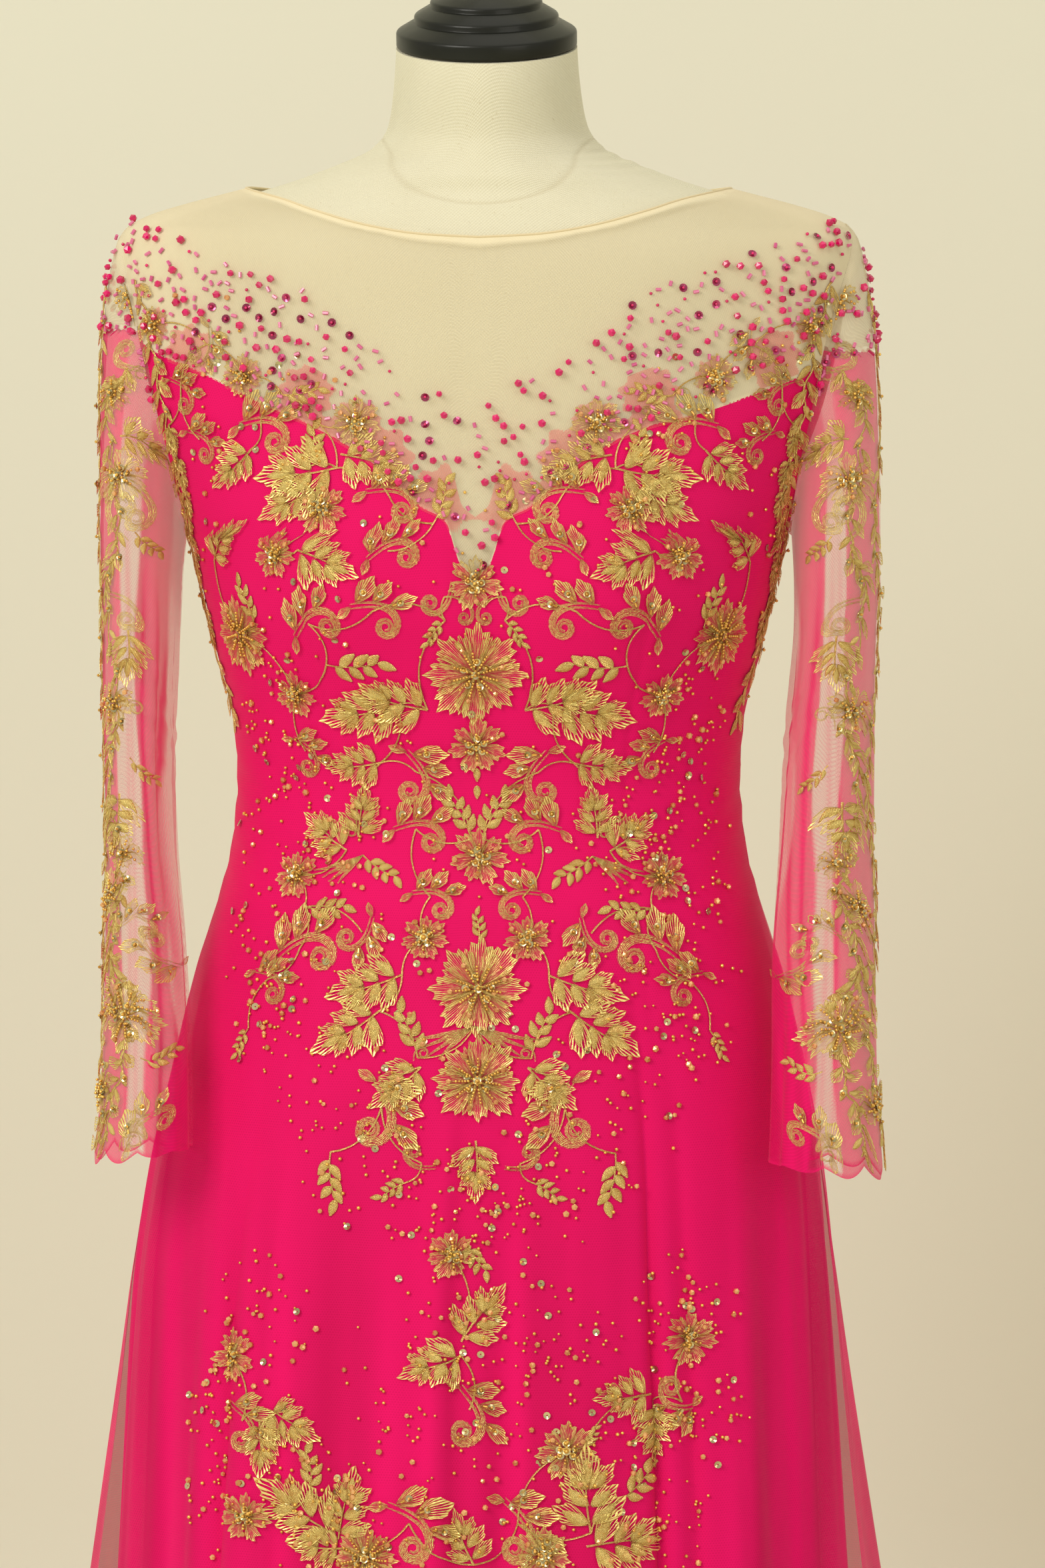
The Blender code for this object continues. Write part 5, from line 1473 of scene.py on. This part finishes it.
garlandMotifs = [
    ("blossom", 678, 1883, 90, 13), ("sprig", 704, 1860, -66, 24), ("leaf", 695, 2015, 53, 36),
    ("leaf", 692, 2032, -160, 33), ("spray", 704, 2118, -119, 40), ("blossom", 359, 2032, 90, 15),
    ("spray", 365, 2130, -100, 34), ("leaf", 402, 2113, -28, 32), ("leaf", 394, 2136, -86, 28),
    ("sprig", 468, 2239, 90, 28), ("leaf", 503, 2302, 148, 48), ("leaf", 514, 2308, 77, 38),
    ("leaf", 520, 2319, -180, 30), ("blossom", 373, 2273, 90, 14), ("spray", 617, 2285, -90, 44),
    ("blossom", 549, 2336, 90, 18), ("leaf", 709, 2348, 110, 30), ("spray", 778, 2285, -106, 44),
    ("blossom", 853, 2176, 90, 16), ("sprig", 876, 2170, 53, 14), ("leaf", 887, 2296, 93, 44),
    ("leaf", 881, 2319, 4, 44), ("sprig", 927, 2250, 35, 34), ("leaf", 968, 2090, -180, 32),
    ("leaf", 973, 2101, -92, 34), ("spray", 1019, 2101, 117, 34), ("blossom", 1031, 2004, 90, 15),
    ("blossom", 813, 2336, 90, 16),
]
sleeveMotifs = [
    ("blossom", 200, 412, 90, 9), ("scroll", 197, 527, 111, 24), ("blossom", 162, 557, 90, 10),
    ("curl", 214, 575, 0, 8), ("leaf", 175, 631, 4, 26), ("blossom", 175, 692, 90, 15),
    ("scroll", 171, 761, 68, 28), ("scroll", 212, 757, -112, 28), ("sprig", 203, 800, -50, 22),
    ("scroll", 175, 887, -76, 26), ("leaf", 192, 939, -90, 28), ("blossom", 166, 1035, 90, 14),
    ("curl", 210, 1091, 0, 8), ("sprig", 194, 1135, -35, 20), ("leaf", 176, 1179, -90, 30),
    ("blossom", 183, 1276, 90, 10), ("blossom", 163, 1337, 90, 13), ("spray", 205, 1381, -60, 24),
    ("sprig", 150, 1417, -30, 34), ("spray", 254, 1440, 95, 30), ("blossom", 183, 1522, 90, 20),
    ("sprig", 211, 1588, 12, 26), ("blossom", 150, 1632, 90, 12), ("spray", 224, 1690, -20, 32),
    ("scroll", 190, 1706, 30, 18), ("curl", 205, 1733, 0, 9),
]

# x and y in the picture, reach in metres, number of beads
sideClouds = [
    (432, 1150, 0.022, 60), (455, 1215, 0.028, 70), (500, 1290, 0.024, 40), (392, 1080, 0.016, 40),
    (415, 1010, 0.012, 24), (448, 1500, 0.03, 70), (395, 1560, 0.024, 40), (480, 1660, 0.034, 60),
    (560, 1760, 0.04, 70), (655, 1800, 0.04, 50), (392, 1425, 0.03, 46), (388, 1330, 0.026, 28),
    (392, 1235, 0.022, 22),
]
skirtClouds = [
    (700, 1860, 0.05, 60), (640, 2050, 0.045, 45), (780, 2040, 0.045, 45), (400, 1960, 0.034, 42),
    (330, 2110, 0.026, 36), (450, 2230, 0.036, 40), (1030, 1960, 0.034, 48), (1065, 2130, 0.026, 40),
    (900, 2160, 0.034, 42), (1015, 2290, 0.026, 30), (700, 2230, 0.04, 30), (560, 2180, 0.04, 30),
    (860, 2010, 0.03, 30), (320, 2240, 0.024, 24),
]

beadShapes = {
    "goldSeed": ("round", "goldBead"), "goldBugle": ("tube", "goldBead"),
    "copperCrystal": ("faceted", "copperCrystal"), "goldSequin": ("cup", "goldSequin"),
    "pinkCrystal": ("faceted", "pinkCrystal"), "pinkBugle": ("tube", "pinkBugle"),
    "pinkSequin": ("cup", "pinkSequin"), "pinkSeed": ("round", "pinkCrystal"),
}


def copiesOf(template, count, name):
    # one mesh that holds a template many times over
    joined = bmesh.new()
    for _ in range(count):
        joined.from_mesh(template)
    return newMesh(name, joined)


def beadTemplate(shape):
    work = bmesh.new()
    if shape == "round":
        bmesh.ops.create_uvsphere(work, u_segments=6, v_segments=5, radius=0.5)
    elif shape == "faceted":
        bmesh.ops.create_icosphere(work, subdivisions=1, radius=0.5)
    elif shape == "tube":
        bmesh.ops.create_cone(work, segments=6, radius1=0.5, radius2=0.5, depth=1.0, cap_ends=True)
        bmesh.ops.transform(work, verts=work.verts, matrix=Matrix.Rotation(math.pi / 2, 4, "Y"))
    else:
        bmesh.ops.create_cone(work, segments=10, radius1=0.11, radius2=0.5, depth=0.13)
        bmesh.ops.solidify(work, geom=work.faces[:], thickness=0.03)
    mesh = newMesh(shape, work)
    if shape != "faceted":
        mesh.shade_smooth()
        mesh.set_sharp_from_angle(angle=math.radians(50))
    return mesh


def sewOn(mesh, points, marks, material, slot):
    moveCorners(mesh, points)
    for label, values in marks.items():
        writeMark(mesh, label, values)
    mesh.update()
    mesh.materials.append(finish[material])
    dress(link(mesh.name, mesh), slot)


def makeBeads(label, beads):
    for kind in sorted({bead[0] for bead in beads}):
        shape, material = beadShapes[kind]
        template = beadTemplate(shape)
        chosen = [bead for bead in beads if bead[0] == kind]
        mesh = copiesOf(template, len(chosen), "%s_%s_beads" % (label, kind))
        ends = corners(template)
        points = np.concatenate([ends @ axes + where for _, where, axes in chosen])
        tint = np.random.default_rng(len(mesh.name)).random(len(chosen))
        sewOn(mesh, points, {"tint": np.repeat(tint, len(ends))}, material,
              "gold_thread" if material.startswith("gold") else "pink_crystal")


def makeThreadwork(label, patches):
    for kind, fields in patches.items():
        if not fields:
            continue
        template, row, column = gridMesh("patch", *stitch["patchGrids"][kind])
        mesh = copiesOf(template, len(fields), "%s_%s_thread" % (label, kind))
        points, threads, along, opened, shade = (
            np.concatenate([values[row, column] for values in field]) for field in zip(*fields))
        writeUv(mesh, "thread", np.stack([threads, along], axis=-1))
        mesh.shade_smooth()
        sewOn(mesh, points, {"opened": opened, "shade": shade}, "goldThread", "gold_thread")


def sew(work, skin, table, mirror=False):
    # each motif of a table, and its twin on the other side where it is mirrored
    for kind, x, y, heading, size in table:
        spot = pictureSpot(skin, x, y, heading)
        motifMakers[kind](work, spot, 0.001 * size)
        if mirror:
            motifMakers[kind](work, Spot(skin, spot.column, spot.row, heading, True), 0.001 * size)


def joinMotifs(work, skin, table, mirror=False):
    # a thin curved stem from each motif to the nearest of those before it in the table
    spots = [pictureSpot(skin, x, y) for _, x, y, _, _ in table]
    places = [skin.at(spot.column, spot.row) for spot in spots]
    for i, spot in enumerate(spots[1:], 1):
        far = [np.linalg.norm(places[i] - place) for place in places[:i]]
        if not 0.012 < min(far) < 0.06:
            continue
        step = spot.stepTo(spots[int(np.argmin(far))])
        bow = 0.16j * step * work.dice.choice((-1, 1))
        twins = [Spot(skin, spot.column, spot.row, 0.0, True)] if mirror else []
        for side in [spot] + twins:
            work.stem(side, 0.0, step, bow, [0.001, 0.0008, 0.001])


# sizes of loose beads in metres, and the draws above which a bead is a crystal or a
# sequin, in the clouds and round the motifs
looseBeads = {
    "lift": 0.0006, "sequin": 0.0042, "cloudSeeds": (0.0015, 0.0024),
    "cloudCrystals": (0.0028, 0.0042), "cloudDraws": (0.72, 0.92), "seed": 0.002,
    "crystal": 0.0036, "draws": (0.6, 0.86), "nearest": 0.4,
}


def scatterClouds(work, skin, table, mirrored=False):
    # loose beads in wide soft clouds, thinner towards their rims
    dice = work.dice
    for x, y, reach, count in table:
        for _ in range(count):
            spot = pictureSpot(skin, x, y, 0.0, mirrored and dice.random() < 0.5)
            away = reach * dice.random() ** 0.6 * np.exp(1j * dice.uniform(0.0, 6.28))
            pick = dice.random()
            kind, size = "goldSeed", dice.uniform(*looseBeads["cloudSeeds"])
            if pick > looseBeads["cloudDraws"][0]:
                kind, size = "copperCrystal", dice.uniform(*looseBeads["cloudCrystals"])
            if pick > looseBeads["cloudDraws"][1]:
                kind, size = "goldSequin", looseBeads["sequin"]
            work.bead(kind, spot, away, size, dice.uniform(0, 3), looseBeads["lift"])


def scatterGold(work, skin, table, count, reach, mirrored=False):
    # loose gold beads round the motifs of a table
    dice = work.dice
    for _ in range(count):
        x, y = dice.choice(table)[1:3]
        spot = pictureSpot(skin, x, y, 0.0, mirrored and dice.random() < 0.5)
        far = dice.uniform(looseBeads["nearest"], 1.0) * reach
        drawn = far * np.exp(1j * dice.uniform(0.0, 6.28))
        pick = dice.random()
        kind, size, lift = "goldSeed", looseBeads["seed"], looseBeads["lift"]
        if pick >= looseBeads["draws"][0]:
            kind, size = "copperCrystal", looseBeads["crystal"]
        if pick >= looseBeads["draws"][1]:
            kind, size, lift = "goldSequin", looseBeads["sequin"], 0.0
        work.bead(kind, spot, drawn, size, dice.uniform(0, 3), lift)


crystalPiece = {"count": 470, "clear": 0.0046, "crowded": 0.995, "shoulder": 60}
# reach from the middle and height of the highest crystals on the yoke, in metres
crystalTop = [
    (0.0, 1.262), (0.037, 1.272), (0.085, 1.312), (0.142, 1.336), (0.18, 1.35), (0.2, 1.3535),
]


def scatterCrystals(work, skin):
    # pink beads on the nude yoke, dense at the sweetheart edge and thinning upwards
    dice = work.dice
    across = np.linspace(-1.0, 1.0, 201)
    lows, highs = edgeHeights(skin, sweetheart, across), edgeHeights(skin, crystalTop, across)
    taken = []
    while len(taken) < crystalPiece["count"]:
        place = dice.uniform(-0.98, 0.98)
        if dice.random() > 0.45 + 0.55 * abs(place):
            continue
        low, high = np.interp(place, across, lows), np.interp(place, across, highs)
        share = dice.random() ** (1.0 + 0.9 * (1.0 - abs(place) ** 2))
        spot = Spot(skin, place, low + 0.002 + (high - low) * share)
        where = skin.at(spot.column, spot.row)
        if any(np.linalg.norm(where - other) < crystalPiece["clear"] for other in taken):
            if dice.random() < crystalPiece["crowded"]:
                continue
        taken.append(where)
        scatterPink(work, spot)


def scatterShoulder(work, skin):
    # the pink beads go on over the shoulder, onto the nude head of the sleeve
    for _ in range(crystalPiece["shoulder"]):
        angle = work.dice.uniform(-0.7, 1.7)
        low = float(np.interp(angle, skin.columns, skin.tops))
        scatterPink(work, Spot(skin, angle, low * work.dice.random() ** 0.8 + 0.004))


def scatterPink(work, spot):
    pick, turn = work.dice.random(), work.dice.uniform(0.0, math.pi)
    if pick < 0.5:
        work.bead("pinkBugle", spot, 0.0, 0.002, turn, 0.0008, work.dice.uniform(1.35, 1.7))
    elif pick < 0.78:
        work.bead("pinkCrystal", spot, 0.0, work.dice.uniform(0.004, 0.0054), turn, 0.0018)
    elif pick < 0.88:
        work.bead("pinkSequin", spot, 0.0, 0.005, turn, 0.0006)
        work.bead("pinkSeed", spot, 0.0, 0.0018, turn, 0.0014)
    else:
        work.bead("pinkSeed", spot, 0.0, 0.0021, turn, 0.001)


laceNetPiece = {
    "columns": 401, "rows": 44, "height": 0.034, "ends": 0.985, "tuck": 0.002, "lift": 0.0001,
    "cover": 0.3, "flower": 0.98, "spray": 0.637,
}


def makeLaceNet():
    # pink net under the motifs that stand on the nude yoke, cut along their outlines
    across = np.linspace(-laceNetPiece["ends"], laceNetPiece["ends"], laceNetPiece["columns"])
    lows = sweetheartHeights(plainFront, across) - laceNetPiece["tuck"]
    points, a, h = panelGrid(plainFront, across, lows, lows + laceNetPiece["height"],
                             np.linspace(0, 1, laceNetPiece["rows"]), stitch["bed"] + laceNetPiece["lift"])
    cover = np.zeros(a.shape)
    for kind, x, y, heading, size in sideMotifs:
        isFlower = kind == "blossom"
        reach = 0.001 * size * laceNetPiece["flower" if isFlower else "spray"]
        column, row = pictureSpot(frontSkin, x, y, heading).reach(0.0 if isFlower else 0.0005 * size)
        for sign in (-1.0, 1.0):
            away = points - frontSkin.at(sign * column, row)
            ruffle = 1.0 + 0.1 * np.sin(9.0 * np.arctan2(away[..., 2], away[..., 0]))
            cover[np.linalg.norm(away, axis=-1) < reach * ruffle] = laceNetPiece["cover"]
    net = layGrid("lace_net", points, plainFront.outward(a, h), "laceNet", {"cover": cover})
    work = bmesh.new()
    work.from_mesh(net.data)
    covered = work.verts.layers.float["cover"]
    bare = [f for f in work.faces if min(v[covered] for v in f.verts) <= 0.0]
    bmesh.ops.delete(work, geom=bare, context="FACES")
    work.to_mesh(net.data)
    work.free()
    dress(net, "pink_tulle")


# the vines: heights on the bodice, way down the sleeves, and sizes of their leaves
vinePiece = {
    "drop": np.linspace(1.325, 1.075, 20), "bodiceLeaf": 0.0155,
    "way": np.linspace(0.05, 0.985, 40), "outerLeaf": 0.0125, "innerLeaf": 0.014,
}


def makeBodice():
    work = Needlework(3)
    sew(work, frontSkin, centreMotifs)
    sew(work, frontSkin, sideMotifs, True)
    joinMotifs(work, frontSkin, sideMotifs, True)
    scatterGold(work, frontSkin, sideMotifs, 420, 0.03, True)
    scatterClouds(work, frontSkin, sideClouds, True)
    scatterCrystals(work, plainFront)
    drop = vinePiece["drop"]
    edge = 0.955 - 0.1 * smoothStep((1.16 - drop) / 0.08)
    for sign in (-1.0, 1.0):
        drawVine(work, frontSkin, sign * edge, drop, vinePiece["bodiceLeaf"])
    return work


def makeSkirt():
    work = Needlework(5)
    sew(work, frontSkin, garlandMotifs)
    joinMotifs(work, frontSkin, garlandMotifs)
    scatterGold(work, frontSkin, garlandMotifs, 200, 0.036)
    scatterClouds(work, frontSkin, skirtClouds)
    return work


def makeSleeveWork(side):
    # the left sleeve's motifs, laid on either sleeve
    work, left, skin = Needlework(11 + side), sleeveSkins[-1], sleeveSkins[side]
    for kind, x, y, heading, size in sleeveMotifs:
        spot = pictureSpot(left, x, y, heading)
        column = spot.column + sleevePiece["inward"] * math.cos(spot.column)
        facing = float(np.dot(left.outward(column, spot.row), viewpoint.back))
        place = Spot(skin, column, spot.row, heading)
        place.widen(1.0 / max(facing, 1.0 / sleevePiece["widest"]))
        motifMakers[kind](work, place, 0.001 * size)
    way = vinePiece["way"]
    drawVine(work, skin, 1.02 + 0.2 * np.sin(way * 31.0), way, vinePiece["outerLeaf"])
    drawVine(work, skin, 0.3 + 0.25 * np.sin(way * 23.0 + side), way, vinePiece["innerLeaf"])
    scatterShoulder(work, skin)
    return work


frontSkin.bed = plainFront.bed = stitch["bed"]
for skin in sleeveSkins.values():
    skin.bed = stitch["sleeveBed"]
makeLaceNet()
for label, work in (("bodice", makeBodice()), ("skirt", makeSkirt()),
                    ("sleeve_left", makeSleeveWork(-1)), ("sleeve_right", makeSleeveWork(1))):
    makeThreadwork(label, work.patches)
    makeBeads(label, work.beads)
    print(label, "sewn, beads:", len(work.beads))

# Studio

# lights: power, place and size
studio = {
    "key": (90.0, (-2.1, -3.0, 3.1), 1.9), "fill": (26.0, (2.6, -3.2, 1.7), 2.4),
    "top": (11.0, (0.3, -0.2, 3.6), 2.2),
}
studioAir = {"strength": 0.55, "tone": (1.0, 0.97, 0.88, 1.0), "lampTone": (1.0, 0.97, 0.9)}
backdropPiece = {"half": 6.0, "behind": 0.95, "height": 5.0, "bend": 0.5}


def makeWall():
    # pale paint with a painted shadow low on the right, and clear from behind
    material, nodes, shader = newMaterial("paleWall", 0.95, Specular_IOR_Level=0.1)
    where = nodes.place()
    split = nodes.split(where)
    right = nodes.line(split["X"], 1.5, -0.22, clamp=True)
    low = nodes.line(split["Z"], -1.1, 1.55, clamp=True)
    # darker low on the right: a painted shadow on the wall
    wallShadow = nodes.times(nodes.times(right, low), nodes.mottle(where, 1.4, 0.5))
    wallShadow = nodes.times(wallShadow, 1.5, clamp=True)
    behind = nodes.make("NewGeometry").outputs["Backfacing"]
    nodes.into(shader, Base_Color=nodes.blend(wallShadow, tones["wall"]), Alpha=nodes.minus(1.0, behind))
    return material


def makeBackdrop():
    # floor and wall in one, with a round bend between them
    work = bmesh.new()
    half = backdropPiece["half"]
    bmesh.ops.create_grid(work, x_segments=1, y_segments=1, size=1.0)
    for v in work.verts:
        v.co = (v.co.x * half, backdropPiece["behind"] if v.co.y > 0 else -half, 0.0)
    rim = [e for e in work.edges if all(v.co.y > 0 for v in e.verts)]
    for v in bmesh.ops.extrude_edge_only(work, edges=rim)["geom"]:
        if isinstance(v, bmesh.types.BMVert):
            v.co.z = backdropPiece["height"]
    bmesh.ops.bevel(work, geom=rim, offset=backdropPiece["bend"], segments=16, profile=0.5,
                    affect="EDGES", material=-1)
    work.normal_update()
    upright = max(work.faces, key=lambda face: abs(face.normal.y) * face.calc_area())
    if upright.normal.y > 0.0:
        bmesh.ops.reverse_faces(work, faces=work.faces)
    mesh = newMesh("backdrop", work)
    mesh.shade_smooth()
    mesh.materials.append(makeWall())
    link("backdrop", mesh)


def makeLights():
    for name, (power, place, size) in studio.items():
        data = bpy.data.lights.new(name, "AREA")
        data.energy, data.size, data.color = power, size, studioAir["lampTone"]
        lamp = link(name, data)
        lamp.location = place
        aim = Vector((0.0, 0.0, 1.0)) - Vector(place)
        lamp.rotation_euler = aim.to_track_quat("-Z", "Y").to_euler()
    world = bpy.data.worlds.new("studio")
    world.use_nodes = True
    sky = world.node_tree.nodes["Background"].inputs
    sky["Color"].default_value, sky["Strength"].default_value = studioAir["tone"], studioAir["strength"]
    bpy.context.scene.world = world
    bpy.context.scene.view_settings.view_transform = "Standard"


makeBackdrop()
makeLights()
